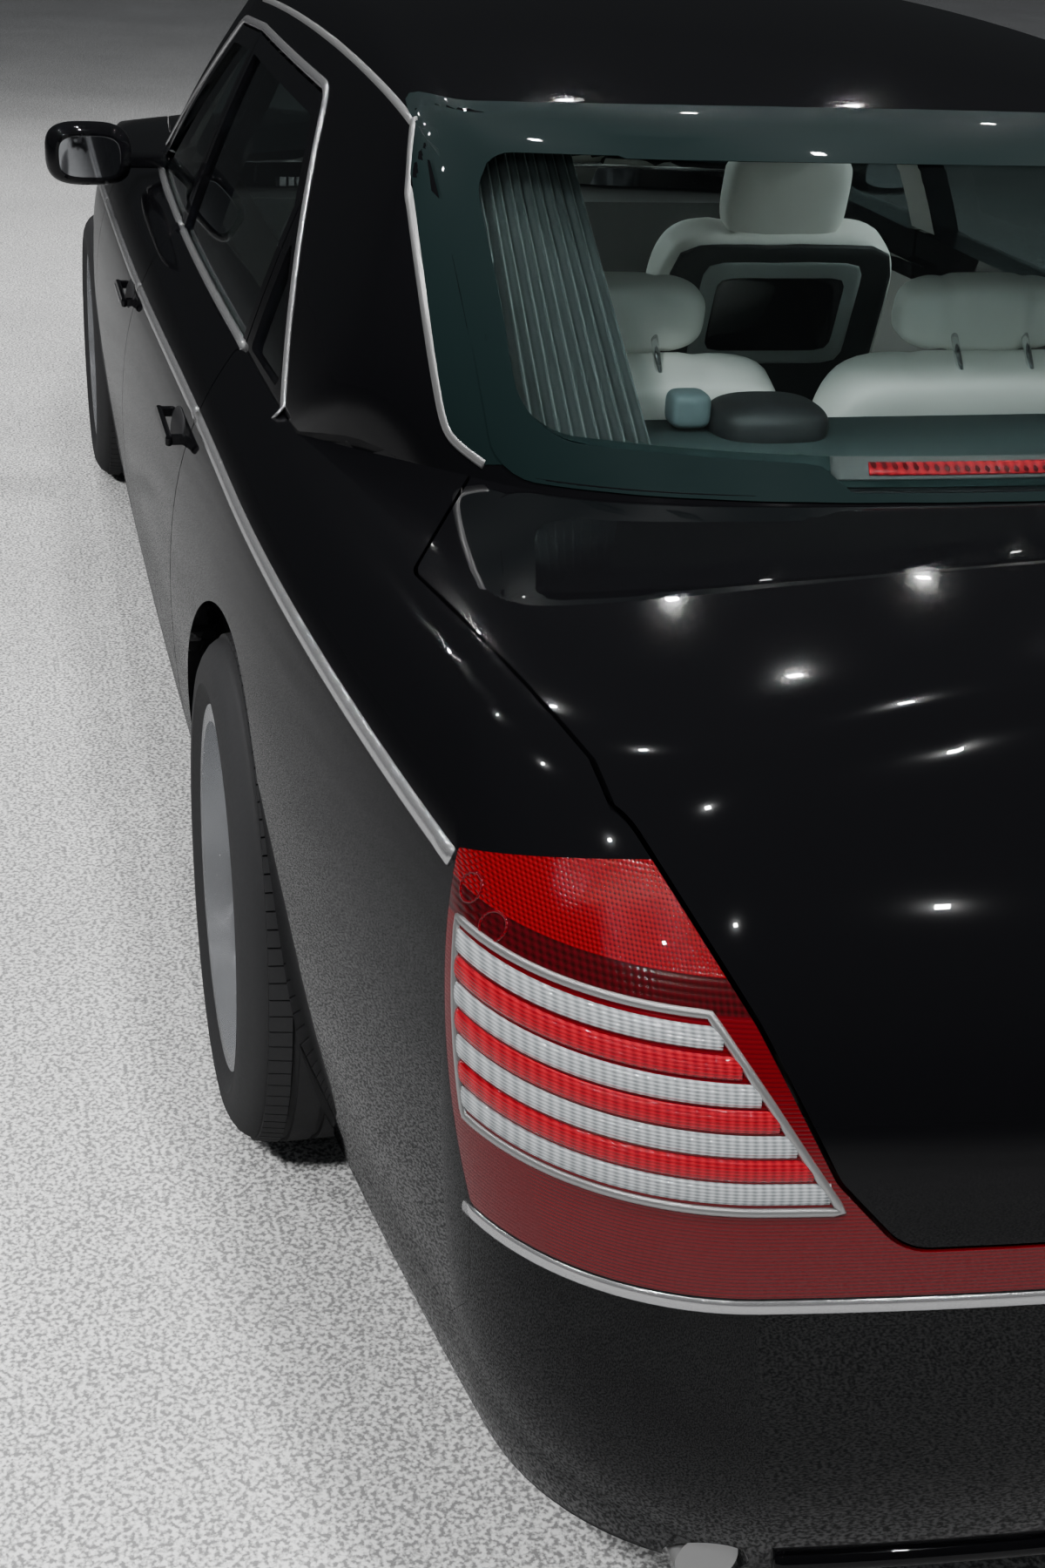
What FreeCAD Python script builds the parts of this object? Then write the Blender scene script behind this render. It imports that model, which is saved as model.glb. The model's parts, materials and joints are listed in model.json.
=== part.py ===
"""A large four-door sedan car, built as separate panels, glass, wheels, axles and cabin furniture.

The frame has +X forward, +Y to the left and +Z up, with the origin on the ground under the middle
of the car. All sizes are in millimetres.
"""

import FreeCAD
import Part
import Sketcher
import math
import os
import re

V = FreeCAD.Vector
doc = FreeCAD.newDocument("sedan_car")
sheet = doc.addObject("Spreadsheet::Sheet", "sizes")

# Driving sizes: name, value, meaning
SIZES = (
    ("length", 5734, "overall length"),
    ("wheelbase", 3390, "front axle to rear axle"),
    ("front_overhang", 1006, "front axle to nose"),
    ("body_width", 1980, "width over the doors"),
    ("roof_height", 1568, "top of the roof over the ground"),
    ("floor_clearance", 200, "underside of the floor over the ground"),
    ("belt_height", 1020, "lower edge of the side windows"),
    ("belt_width", 1744, "width of the cabin at the belt"),
    ("window_top", 1410, "top edge of the side doors"),
    ("door_bottom", 310, "lower edge of the side doors"),
    ("front_door_front", 590, "front door's leading edge behind the front axle"),
    ("door_split", 1640, "line between the doors ahead of the rear axle"),
    ("rear_door_rear", 600, "rear door's trailing edge ahead of the rear axle"),
    ("door_thickness", 90, "door below the belt"),
    ("frame_thickness", 40, "window frame of a door"),
    ("skin_thickness", 40, "outer panel with its inner panel"),
    ("glass_thickness", 5, "all panes"),
    ("glass_depth", 9, "panes behind the outer skin"),
    ("frame_width", 34, "window frame around a pane"),
    ("jamb_width", 60, "door opening's frame around a door"),
    ("stop_width", 24, "door stop behind a door's edge"),
    ("jamb_depth", 30, "door stop behind a door"),
    ("panel_gap", 5, "between a moving panel and the body"),
    ("seat_gap", 0.3, "between a piece and what carries it"),
    ("roof_half_width", 660, "roof panel's edge from the middle"),
    ("arch_radius", 420, "wheel arch opening"),
    ("liner_radius", 455, "wheel arch liner, inside"),
    ("liner_thickness", 6, "wheel arch liner"),
    ("front_liner_inner", 470, "front liner's inner wall from the middle"),
    ("rear_liner_inner", 690, "rear liner's inner wall from the middle"),
    ("tyre_diameter", 755, "tyre over the tread"),
    ("tyre_width", 272, "tyre section"),
    ("bead_diameter", 508, "tyre's seat on the rim"),
    ("rim_diameter", 540, "rim over the flanges"),
    ("rim_width", 250, "rim over the flanges"),
    ("rim_wall", 9, "rim barrel"),
    ("spoke_count", 20, "spokes in a rim"),
    ("spoke_width", 15, "one spoke, across"),
    ("spoke_depth", 26, "one spoke, along the axle"),
    ("hub_radius", 78, "wheel hub"),
    ("spindle_radius", 30, "axle end in the hub"),
    ("spindle_length", 70, "axle end in the hub"),
    ("disc_radius", 160, "brake disc"),
    ("disc_thickness", 32, "brake disc"),
    ("track_front", 1675, "between the front tyres' middles"),
    ("track_rear", 1690, "between the rear tyres' middles"),
    ("kingpin_offset", 60, "steering axis inside the tyre's middle"),
    ("kingpin_radius", 15, "steering axis pin"),
    ("arm_width", 70, "suspension arm along the car"),
    ("arm_height", 30, "suspension arm"),
    ("arm_spread", 190, "suspension arms above and below the hub"),
    ("subframe_half", 400, "arm mounts from the middle"),
    ("subframe_bottom", 155, "axle subframes' underside"),
    ("floor_thickness", 40, "floor panel"),
    ("floor_half_width", 790, "floor panel's edge from the middle"),
    ("tunnel_half_width", 150, "tunnel from the middle"),
    ("tunnel_height", 105, "tunnel over the floor"),
    ("bulkhead_back", 640, "bulkhead behind the front axle"),
    ("bulkhead_thickness", 30, "bulkhead"),
    ("seat_wall_front", 60, "wall behind the rear bench, behind the rear axle"),
    ("boot_floor_height", 450, "boot floor over the ground"),
    ("boot_half_width", 590, "boot walls from the middle"),
    ("lid_bottom", 642, "boot lid's lower edge"),
    ("lamp_bottom", 594, "tail lamp band's lower edge"),
    ("engine_length", 620, "engine block"),
    ("engine_width", 520, "engine block"),
    ("engine_height", 560, "engine block"),
    ("grille_width", 640, "grille over its frame"),
    ("grille_height", 400, "grille over its frame"),
    ("grille_bottom", 470, "grille's lower edge"),
    ("slat_count", 20, "upright slats in the grille"),
    ("slat_width", 9, "one slat"),
    ("seat_width", 540, "one front seat"),
    ("seat_side", 385, "front seats' middles from the middle of the car"),
    ("seat_front", 2240, "front seat cushion's nose ahead of the rear axle"),
    ("seat_cushion_length", 540, "front seat cushion"),
    ("seat_cushion_top", 520, "front seat cushion's top"),
    ("seat_back_top", 1050, "front seat back's top"),
    ("seat_back_thickness", 130, "seat backs"),
    ("bench_front", 1150, "rear bench cushion's nose ahead of the rear axle"),
    ("bench_back", 230, "rear bench's rear face ahead of the rear axle"),
    ("bench_half_width", 680, "rear bench from the middle"),
    ("bench_top", 1040, "rear bench's backrest"),
    ("headrest_width", 270, "head restraints"),
    ("headrest_height", 190, "head restraints"),
    ("headrest_thickness", 100, "head restraints"),
    ("bench_head_width", 300, "rear head restraints"),
    ("bench_head_height", 140, "rear head restraints"),
    ("bench_head_side", 315, "rear head restraints' middles from the middle of the car"),
    ("steering_wheel_radius", 190, "steering wheel"),
    ("steering_rim_radius", 15, "steering wheel's rim section"),
    ("exhaust_half_width", 610, "tail pipes from the middle"),
    ("exhaust_height", 217, "tail pipes over the ground"),
    ("exhaust_radius", 34, "tail pipes"),
    ("handle_height", 872, "door handles over the ground"),
    ("handle_length", 200, "door handles"),
)

for row, (name, value, meaning) in enumerate(SIZES, 1):
    sheet.set(f"A{row}", name)
    sheet.set(f"B{row}", str(value))
    sheet.set(f"C{row}", meaning)
    sheet.setAlias(f"B{row}", name)
doc.recompute()
size = {name: float(sheet.get(name)) for name, _, _ in SIZES}

NOSE = size["length"] / 2
TAIL = -NOSE
FRONT = NOSE - size["front_overhang"]
REAR = FRONT - size["wheelbase"]
HALF = size["body_width"] / 2
BELT = size["belt_height"]
ROOF = size["roof_height"]
GAP = size["panel_gap"]
HUB_Z = size["tyre_diameter"] / 2

FAR = 1600


# Tangent arcs

def tangent_centre(first, first_radius, second, second_radius, radius):
    """Centre of the circle that touches two larger circles from inside, on their outer side."""
    a = first_radius - radius
    b = second_radius - radius
    dx = second[0] - first[0]
    dy = second[1] - first[1]
    span = math.hypot(dx, dy)
    along = (a * a - b * b + span * span) / (2 * span)
    off = math.sqrt(a * a - along * along)
    mid = (first[0] + along * dx / span, first[1] + along * dy / span)
    options = [(mid[0] - s * off * dy / span, mid[1] + s * off * dx / span) for s in (1, -1)]
    return options


def touch(centre, radius, inner):
    """Point of a circle on the line from its centre through another centre."""
    dx = inner[0] - centre[0]
    dy = inner[1] - centre[1]
    span = math.hypot(dx, dy)
    return (centre[0] + radius * dx / span, centre[1] + radius * dy / span)


def arc_middle(centre, radius, start, end):
    """Point halfway along the shorter arc between two points of a circle."""
    mx = (start[0] + end[0]) / 2 - centre[0]
    my = (start[1] + end[1]) / 2 - centre[1]
    span = math.hypot(mx, my)
    return (centre[0] + radius * mx / span, centre[1] + radius * my / span)


# Lower body: outlines in plan, each a chain of tangent arcs, lofted upwards

SIDE_RADIUS = 60000
END = {  # taper arc's start from the axle, its radius, corner radius, end radius
    "tail": (200, 8800, 300, 3800),
    "nose": (-300, 5500, 380, 3000),
}

# Height, side in from the half width, tail and nose in from the ends
BODY_SECTIONS = (
    (200, 85, 60, 75),
    (330, 35, 8, 12),
    (520, 5, 0, 0),
    (700, 2, 18, 20),
    (850, 24, 72, 60),
    (960, 68, 170, 130),
    (1090, 160, 330, 300),
    (1150, 210, 400, 385),
)

# Crowned top of bonnet and boot: place from an axle, height in the middle, fall at one metre out
TOP_SECTIONS = (
    (REAR - 1500, 960, 150),
    (REAR - 1150, 1060, 150),
    (REAR - 550, 1112, 145),
    (REAR + 500, 1116, 120),
    (FRONT - 890, 1085, 105),
    (FRONT, 1045, 95),
    (FRONT + 500, 995, 85),
    (FRONT + 850, 935, 80),
    (FRONT + 1100, 850, 70),
)


def quarter(half_width, middle, side_radius, place, end, taper_at, radii, sign):
    """Arcs' end points from the side to the end of one quarter of an outline."""
    taper_radius, corner_radius, end_radius = radii
    side = (middle, half_width - side_radius)
    across = taper_at - middle
    joint = (taper_at, side[1] + math.sqrt(side_radius ** 2 - across ** 2))
    ratio = (side_radius - taper_radius) / side_radius
    taper = (side[0] + (joint[0] - side[0]) * ratio, side[1] + (joint[1] - side[1]) * ratio)
    end_centre = (end - sign * end_radius, 0)
    options = tangent_centre(taper, taper_radius, end_centre, end_radius, corner_radius)
    corner = max(options, key=lambda c: sign * c[0] + c[1])
    out = touch(taper, taper_radius, corner)
    turn = touch(end_centre, end_radius, corner)
    return (
        (joint, arc_middle(taper, taper_radius, joint, out), out),
        (out, arc_middle(corner, corner_radius, out, turn), turn),
    )


def plan_outline(height, half_width, tail, nose, inset):
    """Closed wire of a body outline at one height, drawn in by an inset."""
    half_width -= inset
    tail += inset
    nose -= inset
    radius = SIDE_RADIUS - inset
    quarters = {}
    for key, axle, end, sign in (("tail", REAR, tail, -1), ("nose", FRONT, nose, 1)):
        start, taper, corner, cap = END[key]
        radii = (taper - inset, corner - inset, cap - inset)
        quarters[key] = quarter(half_width, 0, radius, axle, end, axle + start, radii, sign)
    left = []
    (t1, t2), (n1, n2) = quarters["tail"], quarters["nose"]
    left.append((t2[2], t2[1], t2[0]))
    left.append((t1[2], t1[1], t1[0]))
    left.append((t1[0], (0, half_width), n1[0]))
    left.append(n1)
    left.append(n2)
    right = [tuple((x, -y) for x, y in reversed(arc)) for arc in reversed(left)]
    nose_cap = (n2[2], (nose, 0), (n2[2][0], -n2[2][1]))
    tail_cap = ((t2[2][0], -t2[2][1]), (tail, 0), t2[2])
    edges = []
    for arc in left + [nose_cap] + right + [tail_cap]:
        points = [V(x, y, height) for x, y in arc]
        edges.append(Part.Arc(*points).toShape())
    return Part.Wire(edges)


def lower_hull(inset):
    """Solid of the body below the cabin, inside its skin by the inset."""
    wires = []
    for height, side, tail, nose in BODY_SECTIONS:
        wires.append(plan_outline(height, HALF - side, TAIL + tail, NOSE - nose, inset))
    body = Part.makeLoft(wires, True, False)
    wires = []
    for x, middle, fall in TOP_SECTIONS:
        middle -= inset
        low = BODY_SECTIONS[0][0] - 100
        edge = 1200
        drop = fall * (edge / 1000.0) ** 2
        arc = Part.Arc(V(x, -edge, middle - drop), V(x, 0, middle), V(x, edge, middle - drop)).toShape()
        wires.append(Part.Wire([
            arc,
            Part.makeLine(V(x, edge, middle - drop), V(x, edge, low)),
            Part.makeLine(V(x, edge, low), V(x, -edge, low)),
            Part.makeLine(V(x, -edge, low), V(x, -edge, middle - drop)),
        ]))
    return body.common(Part.makeLoft(wires, True, False))


# Cabin: upright sections along the car, cut by the swept faces of the two screens

SIDE_LEAN = math.radians(18)
SIDE_BOW = 2600
ROOF_BOW = 4500
RAIL_RADIUS = 130
CABIN_FOOT = 850

# Place ahead of the rear axle, roof below the highest, side in from the belt's half width
CABIN_SECTIONS = (
    (-900, 278, 272),
    (-550, 198, 142),
    (-200, 128, 60),
    (150, 68, 22),
    (500, 32, 8),
    (1100, 4, 0),
    (1700, 4, 4),
    (2300, 33, 22),
    (2900, 98, 54),
)

# Height from the belt, rear screen from the rear axle, its radius, windscreen from the front axle
SCREEN_SECTIONS = (
    (-220, -1000, 700, -465),
    (-20, -700, 700, -700),
    (180, -420, 850, -935),
    (380, -140, 1010, -1190),
    (600, 200, 1150, -1480),
)
SCREEN_HALF = 630
WINDSCREEN_RADIUS = 2300


def cabin_section(x, top, side_y, inset):
    """Closed wire across the cabin: leaning sides, round rails and a bowed roof."""
    reference = BELT - 20
    side = (side_y - SIDE_BOW * math.cos(SIDE_LEAN), reference - SIDE_BOW * math.sin(SIDE_LEAN))
    roof = (0.0, top - ROOF_BOW)
    side_bow = SIDE_BOW - inset
    roof_bow = ROOF_BOW - inset
    rail_radius = RAIL_RADIUS - inset
    rail = max(tangent_centre(side, side_bow, roof, roof_bow, rail_radius), key=sum)
    foot = (side[0] + math.sqrt(side_bow ** 2 - (CABIN_FOOT - side[1]) ** 2), CABIN_FOOT)
    low = touch(side, side_bow, rail)
    high = touch(roof, roof_bow, rail)
    arcs = (
        (foot, arc_middle(side, side_bow, foot, low), low),
        (low, arc_middle(rail, rail_radius, low, high), high),
    )
    edges = [Part.makeLine(V(x, -foot[0], CABIN_FOOT), V(x, foot[0], CABIN_FOOT))]
    for arc in arcs:
        edges.append(Part.Arc(*[V(x, y, z) for y, z in arc]).toShape())
    edges.append(Part.Arc(V(x, high[0], high[1]), V(x, 0, top - inset), V(x, -high[0], high[1])).toShape())
    for arc in reversed(arcs):
        edges.append(Part.Arc(*[V(x, -y, z) for y, z in reversed(arc)]).toShape())
    return Part.Wire(edges)


def cabin_hull(inset):
    """Solid of the cabin, inside its skin by the inset."""
    wires = []
    for ahead, fall, side in CABIN_SECTIONS:
        wires.append(cabin_section(REAR + ahead, ROOF - fall, size["belt_width"] / 2 - side, inset))
    tube = Part.makeLoft(wires, True, False)
    wires = []
    edge = 1000
    for up, rear, radius, front in SCREEN_SECTIONS:
        z = BELT + up
        back = REAR + rear + inset
        fore = FRONT + front - inset
        bow = radius - math.sqrt(radius ** 2 - SCREEN_HALF ** 2)
        slope = SCREEN_HALF / math.sqrt(radius ** 2 - SCREEN_HALF ** 2)
        wing = back + bow + slope * (edge - SCREEN_HALF)
        sweep = WINDSCREEN_RADIUS - math.sqrt(WINDSCREEN_RADIUS ** 2 - edge ** 2)
        points = [V(wing, -edge, z), V(back + bow, -SCREEN_HALF, z), V(back + bow, SCREEN_HALF, z),
                  V(wing, edge, z), V(fore - sweep, edge, z), V(fore - sweep, -edge, z)]
        wires.append(Part.Wire([
            Part.makeLine(points[0], points[1]),
            Part.Arc(points[1], V(back, 0, z), points[2]).toShape(),
            Part.makeLine(points[2], points[3]),
            Part.makeLine(points[3], points[4]),
            Part.Arc(points[4], V(fore, 0, z), points[5]).toShape(),
            Part.makeLine(points[5], points[0]),
        ]))
    return tube.common(Part.makeLoft(wires, True, False))


hulls = {}


def lower(inset):
    """Lower hull, kept for reuse."""
    key = ("lower", round(inset, 3))
    if key not in hulls:
        hulls[key] = lower_hull(inset)
    return hulls[key]


def cabin(inset):
    """Cabin hull, kept for reuse."""
    key = ("cabin", round(inset, 3))
    if key not in hulls:
        hulls[key] = cabin_hull(inset)
    return hulls[key]


# Regions: outlines with rounded corners, extruded across the car

def rounded_wire(points, to_vector):
    """Closed wire through (a, b, radius) corners."""
    count = len(points)
    starts, arcs = [], []
    for i, (a, b, radius) in enumerate(points):
        here = V(a, b, 0)
        back = V(*points[i - 1][:2], 0) - here
        on = V(*points[(i + 1) % count][:2], 0) - here
        if radius <= 0:
            starts.append((here, here))
            arcs.append(None)
            continue
        back.normalize()
        on.normalize()
        half = back.getAngle(on) / 2
        reach = radius / math.tan(half)
        towards = (back + on).normalize()
        middle = here + towards * (radius / math.sin(half) - radius)
        starts.append((here + back * reach, here + on * reach))
        arcs.append(middle)
    edges = []
    for i in range(count):
        first, last = starts[i]
        if arcs[i] is not None:
            edges.append(Part.Arc(*[to_vector(p) for p in (first, arcs[i], last)]).toShape())
        following = starts[(i + 1) % count][0]
        if last.distanceToPoint(following) > 1e-6:
            edges.append(Part.makeLine(to_vector(last), to_vector(following)))
    return Part.Wire(edges)


def side_region(points, grow=0, y0=300, y1=FAR):
    """Prism across the car from a side-view outline."""
    wire = rounded_wire(points, lambda p: V(p.x, y0, p.y))
    face = Part.Face(wire)
    if grow:
        face = face.makeOffset2D(grow)
    return face.extrude(V(0, y1 - y0, 0))


def plan_region(points, grow=0, z0=100, z1=FAR):
    """Upright prism from a plan outline."""
    face = Part.Face(rounded_wire(points, lambda p: V(p.x, p.y, z0)))
    if grow:
        face = face.makeOffset2D(grow)
    return face.extrude(V(0, 0, z1 - z0))


def end_region(points, grow=0, x0=TAIL - 100, x1=0):
    """Prism along the car from a rear-view outline."""
    face = Part.Face(rounded_wire(points, lambda p: V(x0, p.x, p.y)))
    if grow:
        face = face.makeOffset2D(grow)
    return face.extrude(V(x1 - x0, 0, 0))


def cuboid(x0, x1, y0, y1, z0, z1):
    """Box between two corners."""
    return Part.makeBox(x1 - x0, y1 - y0, z1 - z0, V(x0, y0, z0))


def feature(name, shape):
    """Sub-part from a shape."""
    if shape.ShapeType == "Compound" and len(shape.Solids) == 1:
        shape = shape.Solids[0]
    item = doc.addObject("Part::Feature", name)
    item.Label = name
    item.Shape = shape
    return item


# Side outlines of the doors and the small fixed window: x, z, corner radius
DOOR_FRONT = FRONT - size["front_door_front"]
SPLIT = REAR + size["door_split"]
DOOR_REAR = REAR + size["rear_door_rear"]
SILL = size["door_bottom"]
TOP = size["window_top"]
PILLAR_TOP = (FRONT - 1440, TOP - 8)
PILLAR_FOOT = (FRONT - 895, BELT + 14)
TAIL_TOP = (REAR + 790, TOP - 8)
TAIL_FOOT = (REAR + 235, BELT - 4)
tail_slope = (TAIL_TOP[1] - TAIL_FOOT[1]) / (TAIL_TOP[0] - TAIL_FOOT[0])
tail_at = TAIL_FOOT[1] + tail_slope * (DOOR_REAR - TAIL_FOOT[0])

rear_door_outline = (
    (DOOR_REAR, SILL, 50),
    (DOOR_REAR, tail_at, 40),
    (*TAIL_TOP, 120),
    (SPLIT, TOP + 4, 12),
    (SPLIT, SILL, 30),
)
front_door_outline = (
    (SPLIT, SILL, 30),
    (SPLIT, TOP + 4, 12),
    (*PILLAR_TOP, 60),
    (*PILLAR_FOOT, 40),
    (DOOR_FRONT, BELT + 14, 30),
    (DOOR_FRONT, SILL, 60),
)
quarter_window_outline = (
    (TAIL_FOOT[0] + 50, BELT + 22, 12),
    (DOOR_REAR - 45, tail_at - 55, 12),
    (DOOR_REAR - 45, BELT + 22, 12),
)


def arch(axle_x, radius, y0=0, y1=FAR):
    """Cylinder across the car at an axle."""
    return Part.makeCylinder(radius, y1 - y0, V(axle_x, y0, HUB_Z), V(0, 1, 0))


# Boot lid and bonnet regions
LID = (  # plan: from the rear axle, from the middle, radius
    (-160, 645, 30),
    (-470, 790, 60),
    (-1080, 700, 80),
    (-1500, 640, 0),
)
LID_REAR = (  # rear view: from the middle, height, radius
    (900, 1400, 0),
    (900, 985, 0),
    (700, 985, 30),
    (615, 850, 200),
    (545, 712, 50),
    (480, size["lid_bottom"], 60),
)


def lid_region(grow):
    """Space of the boot lid."""
    plan = [(REAR + a, b, r) for a, b, r in LID]
    outline = plan + [(a, -b, r) for a, b, r in reversed(plan)]
    top = plan_region(outline, grow, 500, FAR)
    rear = [(a, b, r) for a, b, r in LID_REAR] + [(-a, b, r) for a, b, r in reversed(LID_REAR)]
    return top.common(end_region(rear, grow)).cut(cabin(grow - 2))


def bonnet_region(grow):
    """Space of the bonnet."""
    corner = 745
    front = NOSE - 190
    outline = [
        (FRONT - 1000, corner - 30, 0),
        (FRONT - 200, corner, 900),
        (NOSE - 420, corner - 60, 300),
        (front, 420, 160),
    ]
    outline += [(a, -b, r) for a, b, r in reversed(outline)]
    return plan_region(outline, grow, 500, FAR).cut(cabin(grow - 12))


def shell(hull, outer, inner, left_only):
    """Skin between two depths of a hull, kept for reuse; its left half alone where that is enough."""
    key = (hull.__name__, round(outer, 3), round(inner, 3), left_only)
    if key not in hulls:
        skin = hull(outer).cut(hull(inner))
        if left_only:
            skin = skin.common(cuboid(TAIL, NOSE, 0, FAR, 0, FAR))
        hulls[key] = skin
    return hulls[key]


def lower_shell(outer, inner, left_only=True):
    """Skin of the lower body between two depths."""
    return shell(lower, outer, inner, left_only)


def cabin_shell(outer, inner, left_only=True):
    """Skin of the cabin between two depths."""
    return shell(cabin, outer, inner, left_only)


# Doors
SKIN = size["skin_thickness"]
FRAME = size["frame_thickness"]
DOOR = size["door_thickness"]
LEDGE = BELT + 16


def skin_y(z):
    """Half width of the outer skin at a height."""
    if z >= BELT:
        lean = SIDE_BOW * math.cos(SIDE_LEAN)
        rise = z - (BELT - 20) + SIDE_BOW * math.sin(SIDE_LEAN)
        return size["belt_width"] / 2 - lean + math.sqrt(SIDE_BOW ** 2 - rise ** 2)
    rows = BODY_SECTIONS
    for low, high in zip(rows, rows[1:]):
        if low[0] <= z <= high[0]:
            share = (z - low[0]) / (high[0] - low[0])
            return HALF - low[1] - share * (high[1] - low[1])
    return HALF


def edge_relief(x_edge, reach):
    """Space behind a door's trailing edge, slanted so that the edge swings out past its neighbour."""
    wires = []
    for z in (SILL - 50, 520, 700, BELT - 60, BELT + 100, TOP - 90, TOP + 60):
        y = skin_y(z)
        slant = max(HALF - y, 0) / reach
        deep = 200
        points = [V(x_edge - 40, y + 60, z), V(x_edge, y + 60, z), V(x_edge, y, z),
                  V(x_edge + slant * deep, y - deep, z), V(x_edge - 40, y - deep, z)]
        wires.append(Part.makePolygon(points + points[:1]))
    return Part.makeLoft(wires, True, True)


def handle(start):
    """Bar handle on two feet that reach into a door's skin."""
    z = size["handle_height"]
    y = skin_y(z)
    stop = start + size["handle_length"]
    bar = cuboid(start, stop, y + 14, y + 26, z - 9, z + 9)
    feet = [cuboid(x, x + 16, y - 15, y + 16, z - 7, z + 7) for x in (start + 4, stop - 20)]
    return bar.makeFillet(5, bar.Edges).fuse(feet)


def door(outline, trailing, leading):
    """Door with its window frame, and its pane."""
    body = lower_shell(0, DOOR).common(side_region(outline, -GAP / 2))
    body = body.common(cuboid(TAIL, NOSE, skin_y(LEDGE) - DOOR, FAR, 0, LEDGE))
    frame = cabin_shell(0, FRAME).common(side_region(outline, -GAP / 2))
    frame = frame.common(cuboid(TAIL, NOSE, 600, FAR, BELT - 60, FAR))
    frame = frame.cut(cuboid(TAIL, NOSE, 0, skin_y(LEDGE) - DOOR, 0, LEDGE))
    whole = body.fuse(frame).removeSplitter()
    whole = whole.cut(edge_relief(trailing + GAP / 2, leading - trailing))
    face = side_region(outline, -GAP / 2 - size["frame_width"])
    window = face.common(cuboid(TAIL, NOSE, 0, FAR, BELT + 12, FAR))
    whole = whole.cut(window).fuse(handle(trailing + 28))
    depth = size["glass_depth"]
    pane = cabin_shell(depth, depth + size["glass_thickness"]).common(window)
    return whole, pane


left = {}
for name, outline, trailing, leading in (
    ("rear", rear_door_outline, DOOR_REAR, SPLIT),
    ("front", front_door_outline, SPLIT, DOOR_FRONT),
):
    shape, pane = door(outline, trailing, leading)
    left[f"{name}_door"] = feature(f"left_{name}_door", shape)
    left[f"{name}_door_glass"] = feature(f"left_{name}_door_glass", pane)

# Outlines of the fixed panels in side view: x, z, corner radius
SEAT = size["seat_gap"]
LAMP_BOTTOM = size["lamp_bottom"]
lamp_outline = (
    (REAR - 938, 905, 4),
    (REAR - 1095, LAMP_BOTTOM, 12),
    (TAIL - 100, LAMP_BOTTOM, 0),
    (TAIL - 100, 1076, 0),
)
rear_bumper_outline = (
    (REAR - 1095, LAMP_BOTTOM, 0),
    (REAR - 1090, 470, 40),
    (REAR - 1030, 408, 40),
    (REAR - 360, 336, 0),
    (REAR - 360, 100, 0),
    (TAIL - 100, 100, 0),
    (TAIL - 100, LAMP_BOTTOM, 0),
)
front_bumper_outline = (
    (FRONT + 640, 640, 20),
    (FRONT + 560, 470, 60),
    (FRONT + 380, 430, 0),
    (FRONT + 380, 100, 0),
    (NOSE + 100, 100, 0),
    (NOSE + 100, 640, 0),
)
headlamp_outline = (
    (FRONT + 500, 850, 20),
    (FRONT + 600, 690, 60),
    (NOSE + 100, 665, 0),
    (NOSE + 100, 815, 0),
    (FRONT + 700, 850, 60),
)
fender_outline = (
    (DOOR_FRONT + GAP / 2, SILL - 60, 0),
    (DOOR_FRONT + GAP / 2, BELT + 14, 30),
    (FRONT - 800, BELT + 14, 0),
    (FRONT - 800, BELT + 160, 0),
    (NOSE - 80, BELT + 160, 0),
    (NOSE - 80, 100, 0),
    (FRONT, 100, 0),
    (FRONT, SILL - 60, 0),
)
HEADLAMP_INNER = 430
FENDER_INNER = 690


def screen_region(x0, x1, rows, radius, grow=0):
    """Prism along the car from a bowed four-sided outline: bottom and top as (edge y, edge z, middle z)."""
    (by, bz, bm), (ty, tz, tm) = rows
    wire = Part.Wire([
        Part.Arc(V(x0, -by, bz), V(x0, 0, bm), V(x0, by, bz)).toShape(),
        Part.makeLine(V(x0, by, bz), V(x0, ty, tz)),
        Part.Arc(V(x0, ty, tz), V(x0, 0, tm), V(x0, -ty, tz)).toShape(),
        Part.makeLine(V(x0, -ty, tz), V(x0, -by, bz)),
    ])
    face = Part.Face(wire).makeOffset2D(-radius).makeOffset2D(radius + grow)
    return face.extrude(V(x1 - x0, 0, 0))


def rear_screen(grow=0):
    """Space of the rear window."""
    rows = ((640, BELT + 52, BELT + 98), (668, ROOF - 113, ROOF - 92))
    return screen_region(REAR - 900, REAR + 700, rows, 40, grow)


def windscreen(grow=0):
    """Space of the windscreen."""
    rows = ((765, BELT + 22, BELT + 62), (640, ROOF - 96, ROOF - 50))
    return screen_region(FRONT - 1700, FRONT - 500, rows, 40, grow)


def roof_space(grow=0):
    """Space of the roof panel, over and between the screens."""
    half = size["roof_half_width"] + grow
    return cuboid(TAIL, NOSE, -half, half, TOP + 20, FAR)


def wide(points, grow=0):
    """Side region over the whole width."""
    return side_region(points, grow, -FAR, FAR)


def middle_nose(grow=0):
    """Space of the nose panel around the grille, between the headlamps and under the bonnet."""
    half = HEADLAMP_INNER + 170
    return cuboid(NOSE - 300, NOSE + 50, -half - grow, half + grow, 600, BELT + 100)


def doors_face(grow):
    """Side-view region of both doors as one, grown or shrunk."""
    return side_region(front_door_outline[2:] + rear_door_outline[:3] + ((SPLIT, TOP + 4, 0),), grow)


# Rests under the lid's and the bonnet's edge: from the rear axle, inner and outer side, underside
LID_RESTS = ((-300, 655, 760, 975), (-880, 655, 760, 850))
BONNET_RESTS = ((2980, 700, 790, 920), (3700, 690, 790, 900))
REST_LENGTH = 40


def rests(rows, opening):
    """Blocks on the fixed skin's underside that reach under a closed panel's edge."""
    found = []
    for ahead, y0, y1, z0 in rows:
        post = cuboid(REAR + ahead, REAR + ahead + REST_LENGTH, y0, y1, z0, FAR)
        found.append(post.common(lower(SKIN + SEAT)).fuse(post.common(lower(SKIN - 8)).cut(opening)))
    return found


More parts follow.
